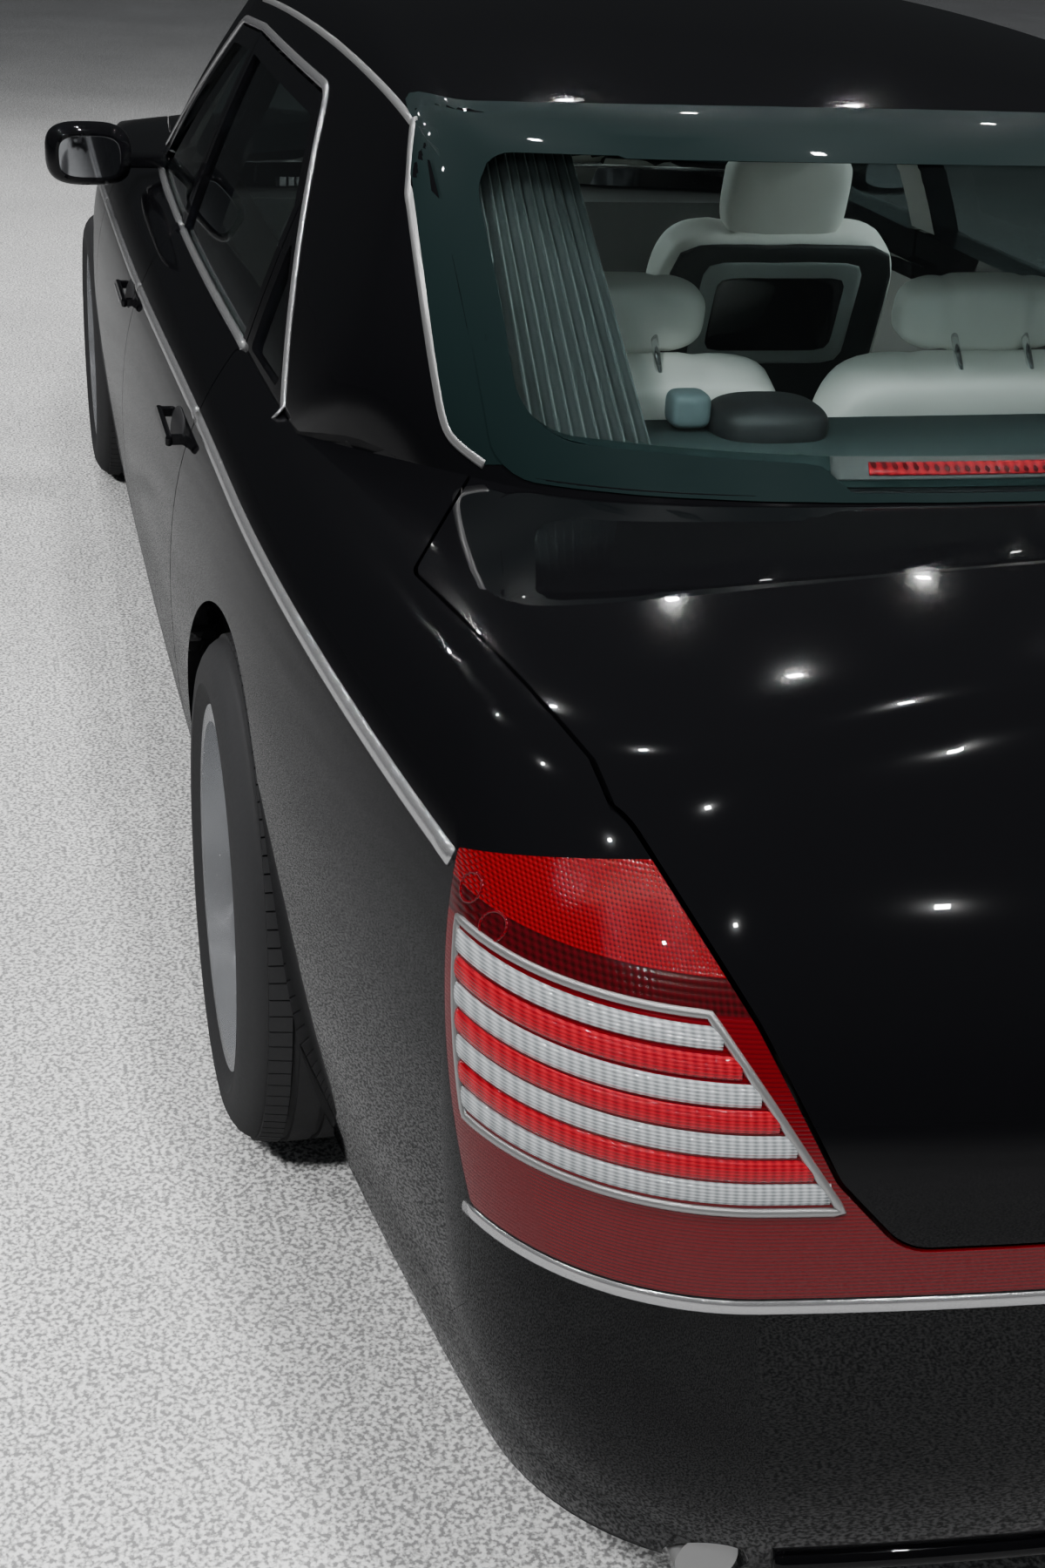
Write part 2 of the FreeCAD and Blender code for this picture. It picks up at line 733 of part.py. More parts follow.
def side_frame():
    """Left side of the body without its doors: quarter panel, sill, pillars, rail and door stops."""
    deep = DOOR + size["jamb_depth"]
    inner = skin_y(LEDGE) - deep
    ahead = DOOR_FRONT + GAP / 2 - SEAT
    opening = doors_face(GAP / 2)
    band = doors_face(GAP / 2 + size["jamb_width"])
    pillar = cuboid(SPLIT - 60, SPLIT + 60, 300, FAR, 0, FAR)
    through = doors_face(-size["stop_width"]).cut(pillar)
    below = cuboid(TAIL - 10, NOSE, 0, FAR, 0, LEDGE)
    sill = cuboid(DOOR_REAR - 60, ahead, inner, FAR, 0, SILL - GAP / 2)
    deep_space = band.common(cuboid(TAIL, NOSE, inner, FAR, 0, LEDGE)).fuse(sill)
    fender = side_region(fender_outline, SEAT, FENDER_INNER - SEAT)

    # Below the belt: the hull's skin, thicker round the doors, and the stops behind the doors
    low = lower(0).common(cuboid(TAIL - 10, ahead + size["jamb_width"], SEAT, FAR, 0, FAR))
    low = low.cut(lower(SKIN).cut(deep_space))
    low = low.cut(lower(deep))
    low = low.cut(opening.cut(lower(DOOR + SEAT)))
    low = low.cut(cuboid(ahead, NOSE, 0, FAR, 0, FAR).cut(lower(SKIN + SEAT)))
    low = low.cut([through, cuboid(ahead, NOSE, 0, inner, 0, FAR), cuboid(ahead, NOSE, inner, FAR, LEDGE, FAR)])
    low = low.cut(cabin(FRAME / 2).cut(deep_space))
    low = low.cut([wide(lamp_outline, SEAT), wide(rear_bumper_outline, SEAT), arch(REAR, size["arch_radius"])])
    low = low.cut(lid_region(GAP / 2)).cut(bonnet_region(GAP / 2)).cut([windscreen(SEAT), rear_screen(SEAT)])
    for rest in rests(LID_RESTS, lid_region(GAP / 2)):
        low = low.fuse(rest)

    # Above it: pillars, rail and their stops
    high = cabin(0).common(cuboid(TAIL, NOSE, SEAT, FAR, BELT - 60, FAR))
    high = high.cut(cabin(FRAME).cut(band))
    high = high.cut(cabin(FRAME + size["jamb_depth"]))
    high = high.cut(opening.cut(cabin(FRAME + SEAT)))
    high = high.cut([through, opening.common(below)])
    high = high.cut([side_region(quarter_window_outline), roof_space(SEAT), fender])
    high = high.cut([rear_screen(SEAT), windscreen(SEAT)]).cut(lid_region(GAP / 2)).cut(bonnet_region(GAP / 2))
    return max(low.fuse(high).Solids, key=lambda solid: solid.Volume)


def body_skin(region, thickness=SKIN):
    """Outer panel of the lower body in a region."""
    return lower_shell(0, thickness, False).common(region)


left["side_frame"] = feature("left_side_frame", side_frame())
lamp_space = wide(headlamp_outline, SEAT).common(cuboid(0, FAR + NOSE, HEADLAMP_INNER - SEAT, FAR, 0, FAR))
fender_skin = lower_shell(0, SKIN).common(side_region(fender_outline, 0, FENDER_INNER)).cut([
    wide(front_bumper_outline, SEAT), bonnet_region(GAP / 2), lamp_space, middle_nose(SEAT),
    arch(FRONT, size["arch_radius"]), cabin(FRAME), windscreen(SEAT)])
for rest in rests(BONNET_RESTS, bonnet_region(GAP / 2)):
    fender_skin = fender_skin.fuse(rest)
left["fender"] = feature("left_front_fender", fender_skin)

# Panes: windscreen, rear window and the two small fixed windows
PANE = size["glass_depth"]
pane_shell = cabin_shell(PANE, PANE + size["glass_thickness"], False)
feature("windscreen", pane_shell.common(windscreen()))
feature("rear_window", pane_shell.common(rear_screen()))
left_pane = pane_shell.common(side_region(quarter_window_outline, -SEAT / 2))
feature("quarter_windows", Part.makeCompound([left_pane, left_pane.mirror(V(0, 0, 0), V(0, 1, 0))]))
feature("roof_panel", cabin_shell(0, FRAME, False).common(roof_space()).cut(rear_screen(SEAT)).cut(windscreen(SEAT)))

# Opening panels over the boot and the engine
feature("boot_lid", body_skin(lid_region(-GAP / 2)))
feature("bonnet", body_skin(bonnet_region(-GAP / 2)))

# Lamps, bumpers and grille
LAMP_DEPTH = 60
lamps = lower_shell(0, LAMP_DEPTH, False).common(wide(lamp_outline))
feature("tail_lamps", lamps.cut(lid_region(GAP / 2)))
front_lamps = lower_shell(0, LAMP_DEPTH, False).common(wide(headlamp_outline)).cut(bonnet_region(GAP / 2))
front_lamps = front_lamps.cut(cuboid(0, NOSE + 99, -HEADLAMP_INNER, HEADLAMP_INNER, 0, FAR))
feature("headlamps", front_lamps)

arches = [arch(x, size["arch_radius"], -FAR, FAR) for x in (REAR, FRONT)]
pipe_space = [Part.makeCylinder(size["exhaust_radius"] + 6, 600, V(TAIL - 100, side * size["exhaust_half_width"],
                                size["exhaust_height"]), V(1, 0, 0)) for side in (-1, 1)]
feature("rear_bumper", body_skin(wide(rear_bumper_outline)).cut(arches[0]).cut(pipe_space))

grille_top = size["grille_bottom"] + size["grille_height"]
grille_half = size["grille_width"] / 2


def grille_region(grow=0):
    """Space of the grille in the nose."""
    points = ((grille_half, size["grille_bottom"], 40), (grille_half, grille_top, 40))
    outline = points + tuple((-a, b, r) for a, b, r in reversed(points))
    return end_region(outline, grow, NOSE - 300, NOSE + 100)


front_bumper = body_skin(wide(front_bumper_outline)).fuse(body_skin(middle_nose()).cut(
    bonnet_region(GAP / 2)).cut(wide(headlamp_outline, SEAT).cut(
        cuboid(0, NOSE + 99, -HEADLAMP_INNER + SEAT, HEADLAMP_INNER - SEAT, 0, FAR))))
feature("front_bumper", front_bumper.cut(arches[1]).cut(grille_region(SEAT)))

FRAME_BAR = 26
frame_ring = lower_shell(0, LAMP_DEPTH, False).common(grille_region().cut(grille_region(-FRAME_BAR)))
slat_pitch = (size["grille_width"] - 2 * FRAME_BAR) / (size["slat_count"] + 1)
bars = []
for i in range(int(size["slat_count"])):
    y = -grille_half + FRAME_BAR + slat_pitch * (i + 1)
    half = size["slat_width"] / 2
    bars.append(cuboid(NOSE - 300, NOSE + 100, y - half, y + half, size["grille_bottom"] + FRAME_BAR - 4,
                       grille_top - FRAME_BAR + 4))
slats = lower_shell(8, LAMP_DEPTH - 10, False).common(Part.makeCompound(bars))
feature("grille", frame_ring.fuse(slats))


def liner(axle, inner, slot_half, slot_top):
    """Wheel arch liner: a drum open to the outside and below."""
    outer_radius = size["liner_radius"] + size["liner_thickness"]
    drum = arch(axle, outer_radius, inner - size["liner_thickness"], FAR)
    drum = drum.cut(arch(axle, size["liner_radius"], inner, FAR))
    drum = drum.cut(cuboid(axle - 600, axle + 600, 0, FAR, -200, SILL - 30))
    drum = drum.cut(cuboid(axle - slot_half, axle + slot_half, 0, inner + 20, 0, slot_top))
    return drum.common(lower(SKIN + SEAT)).cut(lower(0).cut(lower(DOOR + size["jamb_depth"] + SEAT)).common(
        doors_face(GAP / 2 + size["jamb_width"] + SEAT)))


arm_reach = HUB_Z + size["arm_spread"] + size["arm_height"] + 15
liners = [
    liner(REAR, size["rear_liner_inner"], 120, arm_reach),
    liner(FRONT, size["front_liner_inner"], 120, arm_reach),
]
liners += [shape.mirror(V(0, 0, 0), V(0, 1, 0)) for shape in liners]
feature("wheel_arch_liners", Part.makeCompound([s for shape in liners for s in shape.Solids]))

# Floor with its tunnel, bulkheads, rails and boot floor
FLOOR = size["floor_clearance"] + size["floor_thickness"]
BULKHEAD = FRONT - size["bulkhead_back"]
wall = size["bulkhead_thickness"]
wide_half = 1000
boot_floor = size["boot_floor_height"]
boot_half = size["boot_half_width"]
rear_step = REAR + 430
tunnel = size["tunnel_half_width"]
tunnel_top = FLOOR + size["tunnel_height"]
seat_wall = REAR - size["seat_wall_front"]
rail_in, rail_out, rail_low, rail_high = 330, 390, 420, 500
shelf_low = 985
plates = [
    cuboid(rear_step, BULKHEAD, -wide_half, wide_half, size["floor_clearance"], FLOOR),
    cuboid(rear_step, BULKHEAD, -tunnel, tunnel, size["floor_clearance"], tunnel_top),
    cuboid(rear_step, rear_step + wall, -boot_half, boot_half, FLOOR - 5, boot_floor),
    cuboid(TAIL, rear_step + wall, -boot_half, boot_half, boot_floor - 20, boot_floor),
    cuboid(seat_wall - wall, seat_wall, -boot_half, boot_half, boot_floor - 5, shelf_low - SEAT),
    cuboid(BULKHEAD - wall, BULKHEAD, -wide_half, wide_half, FLOOR - 5, 950),
]
for side in (1, -1):
    plates.append(cuboid(BULKHEAD - 10, NOSE - 200, *sorted((side * rail_in, side * rail_out)), rail_low, rail_high))
support = cuboid(NOSE - 260, NOSE - 200, -rail_out, rail_out, 300, 800)
support = support.cut(cuboid(NOSE - 261, NOSE - 199, -rail_in, rail_in, 360, 740))
tunnel_bore = cuboid(rear_step - 10, BULKHEAD + 10, -tunnel + 25, tunnel - 25, 100, tunnel_top - 25)
inner_space = lower(DOOR + size["jamb_depth"] + SEAT)
floor = plates[0].fuse(plates[1:] + [support]).cut(tunnel_bore).common(inner_space)
rear_panel = lower_shell(SKIN + SEAT, SKIN + 22, False).common(
    cuboid(TAIL, REAR - 900, -boot_half + 30, boot_half - 30, boot_floor - 20, size["lid_bottom"] - 70))
boot_end = cuboid(TAIL, REAR - 600, -boot_half, boot_half, boot_floor - 20, boot_floor).common(lower(SKIN + 5))
feature("floor_pan", floor.fuse([rear_panel, boot_end]).removeSplitter())


def mirror_of(item, name="mirror"):
    """The same on the other side of the car."""
    other = doc.addObject("Part::Mirroring", name)
    other.Label = name
    other.Source = item
    other.Base = V(0, 0, 0)
    other.Normal = V(0, 1, 0)
    return other


# Bound features: plain blocks and rods placed by expressions on the sheet

PLACES = {
    "front_axle": "(length / 2 - front_overhang)",
    "rear_axle": "(length / 2 - front_overhang - wheelbase)",
    "hub_height": "(tyre_diameter / 2)",
    "floor_top": "(floor_clearance + floor_thickness)",
    "front_hub": "(track_front / 2)",
    "rear_hub": "(track_rear / 2)",
}
WORD = re.compile(r"[a-z][a-z_]+")


def formula(text):
    """Expression on the sheet from plain names."""
    text = WORD.sub(lambda word: PLACES.get(word.group(), word.group()), str(text))
    return WORD.sub(lambda word: "sizes." + word.group() if word.group() in size else word.group(), text)


def bind(item, **values):
    """Bind properties of a feature to the sheet."""
    for name, text in values.items():
        item.setExpression(name, formula(text))
    return item


def place(item, x, y, z):
    """Bind a feature's place to the sheet."""
    for axis, text in zip("xyz", (x, y, z)):
        item.setExpression(f"Placement.Base.{axis}", formula(text))
    return item


def block(x0, x1, y0, y1, z0, z1):
    """Box between two corners."""
    item = doc.addObject("Part::Box", "block")
    bind(item, Length=f"({x1}) - ({x0})", Width=f"({y1}) - ({y0})", Height=f"({z1}) - ({z0})")
    return place(item, x0, y0, z0)


def rod(axis, radius, length, x, y, z):
    """Cylinder from a point along an axis."""
    item = doc.addObject("Part::Cylinder", "rod")
    turns = {"x": (V(0, 1, 0), 90), "y": (V(1, 0, 0), -90), "z": (V(0, 0, 1), 0)}
    item.Placement = FreeCAD.Placement(V(), FreeCAD.Rotation(*turns[axis]))
    bind(item, Radius=radius, Height=length)
    return place(item, x, y, z)


def joined(name, parts):
    """One solid from parts that overlap."""
    item = doc.addObject("Part::MultiFuse", name)
    item.Label = name
    item.Shapes = parts
    item.Refine = True
    return item


def without(base, tool, name="cut"):
    """Base with the tool's space taken out."""
    item = doc.addObject("Part::Cut", name)
    item.Label = name
    item.Base = base
    item.Tool = tool
    return item


def carrier(axle, hub):
    """Hub carrier's pieces on the left: upright, lugs, spindle and brake caliper."""
    face = f"{hub} - kingpin_offset"
    z = "hub_height"
    inner = f"{face} - 40"
    outer = f"{face} - 5"
    parts = [
        block(f"{axle} - 30", f"{axle} + 30", inner, outer, f"{z} - arm_spread + 20", f"{z} + arm_spread - 20"),
        block(f"{axle} - 190", f"{axle} - 20", inner, outer, f"{z} - 60", f"{z} + 60"),
        block(f"{axle} - 205", f"{axle} - 172", inner, f"{face} + disc_thickness + 20", f"{z} - 60", f"{z} + 60"),
        block(f"{axle} - 190", f"{axle} - 90", f"{face} + disc_thickness + 5", f"{face} + disc_thickness + 20",
              f"{z} - 60", f"{z} + 60"),
        rod("y", "spindle_radius", f"spindle_length + 10", axle, f"{outer} - 5", z),
    ]
    for low, high in ((f"{z} - arm_spread + 4", f"{z} - arm_spread + 22"),
                      (f"{z} + arm_spread - 22", f"{z} + arm_spread - 4")):
        parts.append(block(f"{axle} - 25", f"{axle} + 25", inner, f"{face} + 20", low, high))
    return parts


def arms(axle, hub, lower_from, upper_from, eye):
    """Lower and upper arms out to the carrier."""
    parts = []
    for sign, inner in (("-", lower_from), ("+", upper_from)):
        middle = f"hub_height {sign} (arm_spread + arm_height / 2)"
        outer = f"{hub} - kingpin_offset"
        parts.append(block(f"{axle} - arm_width / 2", f"{axle} + arm_width / 2", inner, outer,
                           f"{middle} - arm_height / 2", f"{middle} + arm_height / 2"))
        if eye:
            parts.append(rod("z", "kingpin_radius + 13", "arm_height", axle, outer, f"{middle} - arm_height / 2"))
    return parts


# Front knuckles, which turn on the pins that stand in the arms' eyes
kingpin = "front_hub - kingpin_offset"
pins = []
for low in ("hub_height - arm_spread - arm_height", "hub_height + arm_spread - 10"):
    pins.append(rod("z", "kingpin_radius", "arm_height + 10", "front_axle", kingpin, low))
left["knuckle"] = joined("left_knuckle", carrier("front_axle", "front_hub") + pins)

# Front axle: subframe, towers and arms with eyes for the pins
front_parts = [block("front_axle - 200", "front_axle + 200", "-subframe_half", "subframe_half",
                     "subframe_bottom", "subframe_bottom + 90")]
eyes = []
for side in ("left", "right"):
    pieces = arms("front_axle", "front_hub", "subframe_half - 10", "subframe_half - 10", True)
    pieces.append(block("front_axle - 60", "front_axle + 60", f"{rail_out} + seat_gap", f"{rail_out} + 42",
                        "subframe_bottom", "hub_height + arm_spread + arm_height"))
    pieces.append(block("front_axle - 60", "front_axle + 60", "subframe_half - 30", f"{rail_out} + 42",
                        "hub_height - arm_spread - arm_height", "subframe_bottom + 20"))
    group = joined(f"front_arms_{side}", pieces)
    if side == "right":
        group = mirror_of(group)
    front_parts.append(group)
front_frame = joined("front_frame", front_parts)
for sign in ("", "-"):
    eyes.append(rod("z", "kingpin_radius + seat_gap", "2 * (arm_spread + arm_height) + 20", "front_axle",
                    f"{sign}({kingpin})", "hub_height - arm_spread - arm_height - 10"))
front_axle = without(front_frame, joined("eye_space", eyes), "front_axle")

# Rear axle: subframe under the boot floor, arms, carriers and half shafts
rear_parts = [
    block("rear_axle - 180", "rear_axle + 180", "-subframe_half", "subframe_half", "subframe_bottom + 40",
          "subframe_bottom + 130"),
    block("rear_axle - 150", "rear_axle + 150", -130, 130, "hub_height - 120", "hub_height + 2"),
    rod("y", 24, "2 * rear_hub - 2 * kingpin_offset - 60", "rear_axle", "-(rear_hub - kingpin_offset - 30)",
        "hub_height"),
]
for side in ("left", "right"):
    pieces = arms("rear_axle", "rear_hub", "subframe_half - 10", "boot_half_width + 20", False)
    pieces += carrier("rear_axle", "rear_hub")
    pieces.append(block("rear_axle - 60", "rear_axle + 60", "subframe_half - 40", "subframe_half",
                        "hub_height - arm_spread - arm_height", "boot_floor_height - 20 - seat_gap"))
    pieces.append(block("rear_axle - 30", "rear_axle + 30", "boot_half_width + 20", "boot_half_width + 60",
                        "hub_height - arm_spread - arm_height", "hub_height + arm_spread + arm_height"))
    group = joined(f"rear_arms_{side}", pieces)
    if side == "right":
        group = mirror_of(group)
    rear_parts.append(group)
rear_axle = joined("rear_axle", rear_parts)


# Wheels: a rim with its hub and brake disc, and a tyre, turned about the axle

def turned(body, name, outline, kind="PartDesign::Revolution"):
    """Revolve an outline of (radius, along) formulas about the body's Y axis."""
    plane = next(f for f in body.Origin.OriginFeatures if f.Role == "XY_Plane")
    axis = next(f for f in body.Origin.OriginFeatures if f.Role == "Y_Axis")
    sketch = body.newObject("Sketcher::SketchObject", name + "_sketch")
    sketch.AttachmentSupport = [(plane, "")]
    sketch.MapMode = "FlatFace"
    outline_in(sketch, outline)
    turn = body.newObject(kind, name)
    turn.Profile = sketch
    turn.ReferenceAxis = (axis, [""])
    turn.Angle = 360
    return turn


def outline_in(sketch, outline):
    """Closed outline with each corner held by two bound dimensions."""
    count = len(outline)
    corners = [V(*[value_of(t) for t in corner], 0) for corner in outline]
    for i in range(count):
        sketch.addGeometry(Part.LineSegment(corners[i], corners[(i + 1) % count]), False)
    for i in range(count):
        sketch.addConstraint(Sketcher.Constraint("Coincident", i, 2, (i + 1) % count, 1))
    for i, corner in enumerate(outline):
        for kind, text, at in zip(("DistanceX", "DistanceY"), corner, corners[i]):
            number = sketch.addConstraint(Sketcher.Constraint(kind, -1, 1, i, 1, at))
            sketch.setExpression(f"Constraints[{number}]", formula(text))


def value_of(text):
    """Number that a formula gives now."""
    probe.setExpression("Placement.Base.x", formula(text))
    probe.recompute()
    return probe.Placement.Base.x


def new_body(name, axle, y):
    """Body of a wheel piece on its axle."""
    body = doc.addObject("PartDesign::Body", name)
    body.Label = name
    place(body, axle, y, "hub_height")
    return body


probe = doc.addObject("Part::Box", "probe")

RIM = (
    ("bead_diameter / 2 - rim_wall", "-rim_width / 2"),
    ("rim_diameter / 2", "-rim_width / 2"),
    ("rim_diameter / 2", "-rim_width / 2 + 8"),
    ("bead_diameter / 2", "-rim_width / 2 + 8"),
    ("bead_diameter / 2", "rim_width / 2 - 8"),
    ("rim_diameter / 2", "rim_width / 2 - 8"),
    ("rim_diameter / 2", "rim_width / 2"),
    ("bead_diameter / 2 - rim_wall", "rim_width / 2"),
)
DISC_BACK = "-kingpin_offset"
HUB = (
    ("spindle_radius + seat_gap", DISC_BACK),
    ("disc_radius", DISC_BACK),
    ("disc_radius", f"{DISC_BACK} + disc_thickness"),
    ("hub_radius", f"{DISC_BACK} + disc_thickness"),
    ("hub_radius", "rim_width / 2 - 40"),
    ("12", "rim_width / 2 - 30"),
    ("12", "spindle_length - kingpin_offset + 10"),
    ("spindle_radius + seat_gap", "spindle_length - kingpin_offset + 10"),
)
TYRE = (
    ("bead_diameter / 2 + seat_gap", "-rim_width / 2 + 9"),
    ("rim_diameter / 2 + 6", "-rim_width / 2 + 9"),
    ("rim_diameter / 2 + 20", "-tyre_width / 2 + 4"),
    ("rim_diameter / 2 + 45", "-tyre_width / 2"),
    ("tyre_diameter / 2 - 34", "-tyre_width / 2 + 8"),
    ("tyre_diameter / 2 - 8", "-tyre_width / 2 + 30"),
    ("tyre_diameter / 2", "-tyre_width / 2 + 66"),
    ("tyre_diameter / 2", "tyre_width / 2 - 66"),
    ("tyre_diameter / 2 - 8", "tyre_width / 2 - 30"),
    ("tyre_diameter / 2 - 34", "tyre_width / 2 - 8"),
    ("rim_diameter / 2 + 45", "tyre_width / 2"),
    ("rim_diameter / 2 + 20", "tyre_width / 2 - 4"),
    ("rim_diameter / 2 + 6", "rim_width / 2 - 9"),
    ("bead_diameter / 2 + seat_gap", "rim_width / 2 - 9"),
)


def spokes(body, name):
    """Spokes between hub and barrel, patterned round the axle."""
    plane = next(f for f in body.Origin.OriginFeatures if f.Role == "XZ_Plane")
    axis = next(f for f in body.Origin.OriginFeatures if f.Role == "Y_Axis")
    sketch = body.newObject("Sketcher::SketchObject", name + "_spoke_sketch")
    sketch.AttachmentSupport = [(plane, "")]
    sketch.MapMode = "FlatFace"
    reach = "bead_diameter / 2 - rim_wall + 3"
    outline_in(sketch, (
        ("hub_radius - 12", "-spoke_width / 2"),
        (reach, "-spoke_width / 2"),
        (reach, "spoke_width / 2"),
        ("hub_radius - 12", "spoke_width / 2"),
    ))
    bind(sketch, **{"AttachmentOffset.Base.z": "-(rim_width / 2 - 40 - spoke_depth)"})
    pad = body.newObject("PartDesign::Pad", name + "_spoke")
    pad.Profile = sketch
    bind(pad, Length="spoke_depth")
    pad.Reversed = True
    doc.recompute()
    pattern = body.newObject("PartDesign::PolarPattern", name + "_spokes")
    pattern.Originals = [pad]
    pattern.Axis = (axis, [""])
    pattern.Angle = 360
    bind(pattern, Occurrences="spoke_count")
    body.Tip = pattern


for end, axle, hub in (("front", "front_axle", "front_hub"), ("rear", "rear_axle", "rear_hub")):
    name = f"left_{end}_rim"
    rim = new_body(name, axle, hub)
    turned(rim, name + "_barrel", RIM)
    turned(rim, name + "_hub", HUB)
    spokes(rim, name)
    tyre = new_body(f"left_{end}_tyre", axle, hub)
    turned(tyre, f"left_{end}_tyre_form", TYRE)
    left[f"{end}_rim"] = rim
    left[f"{end}_tyre"] = tyre

# Engine block over the front subframe
engine = block("front_axle - engine_length / 2 - 120", "front_axle + engine_length / 2 - 120", "-engine_width / 2",
               "engine_width / 2", "subframe_bottom + 90 + seat_gap", "subframe_bottom + 90 + engine_height")
engine.Label = "engine"

# Exhaust: silencer under the boot floor and a pipe to each side
silencer = block("rear_axle - 1000", "rear_axle - 520", "-exhaust_half_width - 45", "exhaust_half_width + 45",
                 "exhaust_height - 20", "boot_floor_height - 20 - seat_gap")
pipes = [silencer]
for sign in ("", "-"):
    pipes.append(rod("x", "exhaust_radius", 300, "rear_axle - 1228", f"{sign}exhaust_half_width", "exhaust_height"))
exhaust = joined("exhaust", pipes)


def rounded(item, radius, name):
    """Block with its upright and lengthwise edges rounded."""
    doc.recompute()
    soft = doc.addObject("Part::Fillet", name)
    soft.Label = name
    soft.Base = item
    soft.Edges = [(i + 1, radius, radius) for i in range(len(item.Shape.Edges))]
    return soft


def leaning(x, y0, y1, z0, z1, thickness, lean, radius, name):
    """Upholstered back, leaning rearwards by an angle in degrees."""
    item = doc.addObject("Part::Box", "back")
    bind(item, Length=thickness, Width=f"({y1}) - ({y0})", Height=f"(({z1}) - ({z0})) / cos({lean})")
    item.Placement = FreeCAD.Placement(V(), FreeCAD.Rotation(V(0, 1, 0), -lean))
    place(item, x, y0, z0)
    return rounded(item, radius, name)


# Front seats: pedestal, cushion, back and head restraint
seat_low = "seat_side - seat_width / 2"
seat_high = "seat_side + seat_width / 2"
seat_nose = "rear_axle + seat_front"
seat_tail = f"{seat_nose} - seat_cushion_length"
seat_parts = [
    block(f"{seat_tail} + 30", f"{seat_nose} - 90", f"{seat_low} + 60", f"{seat_high} - 60",
          "floor_top + seat_gap", "seat_cushion_top - 150"),
    rounded(block(f"{seat_tail} - 60", seat_nose, seat_low, seat_high, "seat_cushion_top - 170", "seat_cushion_top"),
            35, "cushion"),
    leaning(f"{seat_tail} - 60", seat_low, seat_high, "seat_cushion_top - 60", "seat_back_top",
            "seat_back_thickness", 20, 35, "seat_back"),
    leaning(f"{seat_tail} - 245", "seat_side - headrest_width / 2", "seat_side + headrest_width / 2",
            "seat_back_top - 20", "seat_back_top + headrest_height", "headrest_thickness", 12, 30, "head_restraint"),
]
left_seat = joined("left_seat", seat_parts)
seats = doc.addObject("Part::Compound", "front_seats")
seats.Label = "front_seats"
seats.Links = [left_seat, mirror_of(left_seat)]

# Rear bench with two head restraints
bench_parts = [
    rounded(block(f"rear_axle + {rear_step - REAR + wall} + seat_gap", "rear_axle + bench_front", "-bench_half_width",
                  "bench_half_width", "floor_top + tunnel_height + seat_gap", "seat_cushion_top - 10"), 35,
            "bench_cushion"),
    rounded(block("rear_axle + bench_back + 40", "rear_axle + bench_front - 120", "-boot_half_width + 5",
                  "boot_half_width - 5", "boot_floor_height + seat_gap", "seat_cushion_top - 15"), 20, "bench_base"),
    leaning("rear_axle + bench_back + 250", "-boot_half_width + 5", "boot_half_width - 5",
            "seat_cushion_top - 60", "bench_top", "seat_back_thickness", 22, 35, "bench_back"),
]
for sign in ("", "-"):
    middle = f"{sign}bench_head_side"
    bench_parts.append(leaning("rear_axle + bench_back + 100", f"{middle} - bench_head_width / 2",
                               f"{middle} + bench_head_width / 2", "bench_top - 20", "bench_top + bench_head_height",
                               "headrest_thickness", 12, 30, "bench_head"))
bench = joined("rear_bench", bench_parts)

# Parcel shelf behind the bench
feature("parcel_shelf", cuboid(REAR - 470, REAR + 215, -620, 620, shelf_low, shelf_low + 24).common(
    cabin(FRAME + 2)))

# Dashboard with the console on the tunnel
dash_box = cuboid(BULKHEAD - 330, BULKHEAD - wall - SEAT, -720, 720, 720, BELT - 60 - SEAT)
dash_space = cabin(FRAME + 32).fuse(lower(DOOR + size["jamb_depth"] + SEAT))
console_box = cuboid(REAR + 1350, BULKHEAD - 250, -108, 108, tunnel_top + SEAT, 640)
console_riser = cuboid(BULKHEAD - 320, BULKHEAD - wall - SEAT, -108, 108, tunnel_top + SEAT, 800)
dash = dash_box.fuse([console_box, console_riser]).common(dash_space)
column_tilt = 24
wheel_centre = V(BULKHEAD - 560, size["seat_side"], 840)
column_way = V(math.cos(math.radians(column_tilt)), 0, -math.sin(math.radians(column_tilt)))
column_length = 300
bore = Part.makeCylinder(22 + SEAT, column_length + 0.5, wheel_centre, column_way)
feature("dashboard", dash.cut(bore))

# Steering wheel with its column, on the left
torus = doc.addObject("Part::Torus", "steering_rim")
bind(torus, Radius1="steering_wheel_radius", Radius2="steering_rim_radius")
turn = FreeCAD.Rotation(V(0, 1, 0), 90 + column_tilt)
torus.Placement = FreeCAD.Placement(wheel_centre, turn)
hub_form = doc.addObject("Part::Cylinder", "steering_hub")
hub_form.Radius = 60
hub_form.Height = 30
hub_form.Placement = FreeCAD.Placement(wheel_centre - column_way * 10, turn)
column = doc.addObject("Part::Cylinder", "steering_column")
column.Radius = 22
column.Height = column_length
column.Placement = FreeCAD.Placement(wheel_centre, turn)
wheel_parts = [torus, hub_form, column]
for angle in (0, 90, 180):
    spoke = doc.addObject("Part::Box", "steering_spoke")
    bind(spoke, Length="steering_wheel_radius")
    spoke.Width = 36
    spoke.Height = 14
    spin = FreeCAD.Placement(wheel_centre, turn).multiply(
        FreeCAD.Placement(V(), FreeCAD.Rotation(V(0, 0, 1), angle))).multiply(
        FreeCAD.Placement(V(0, -18, -7), FreeCAD.Rotation()))
    spoke.Placement = spin
    wheel_parts.append(spoke)
steering_wheel = joined("steering_wheel", wheel_parts)

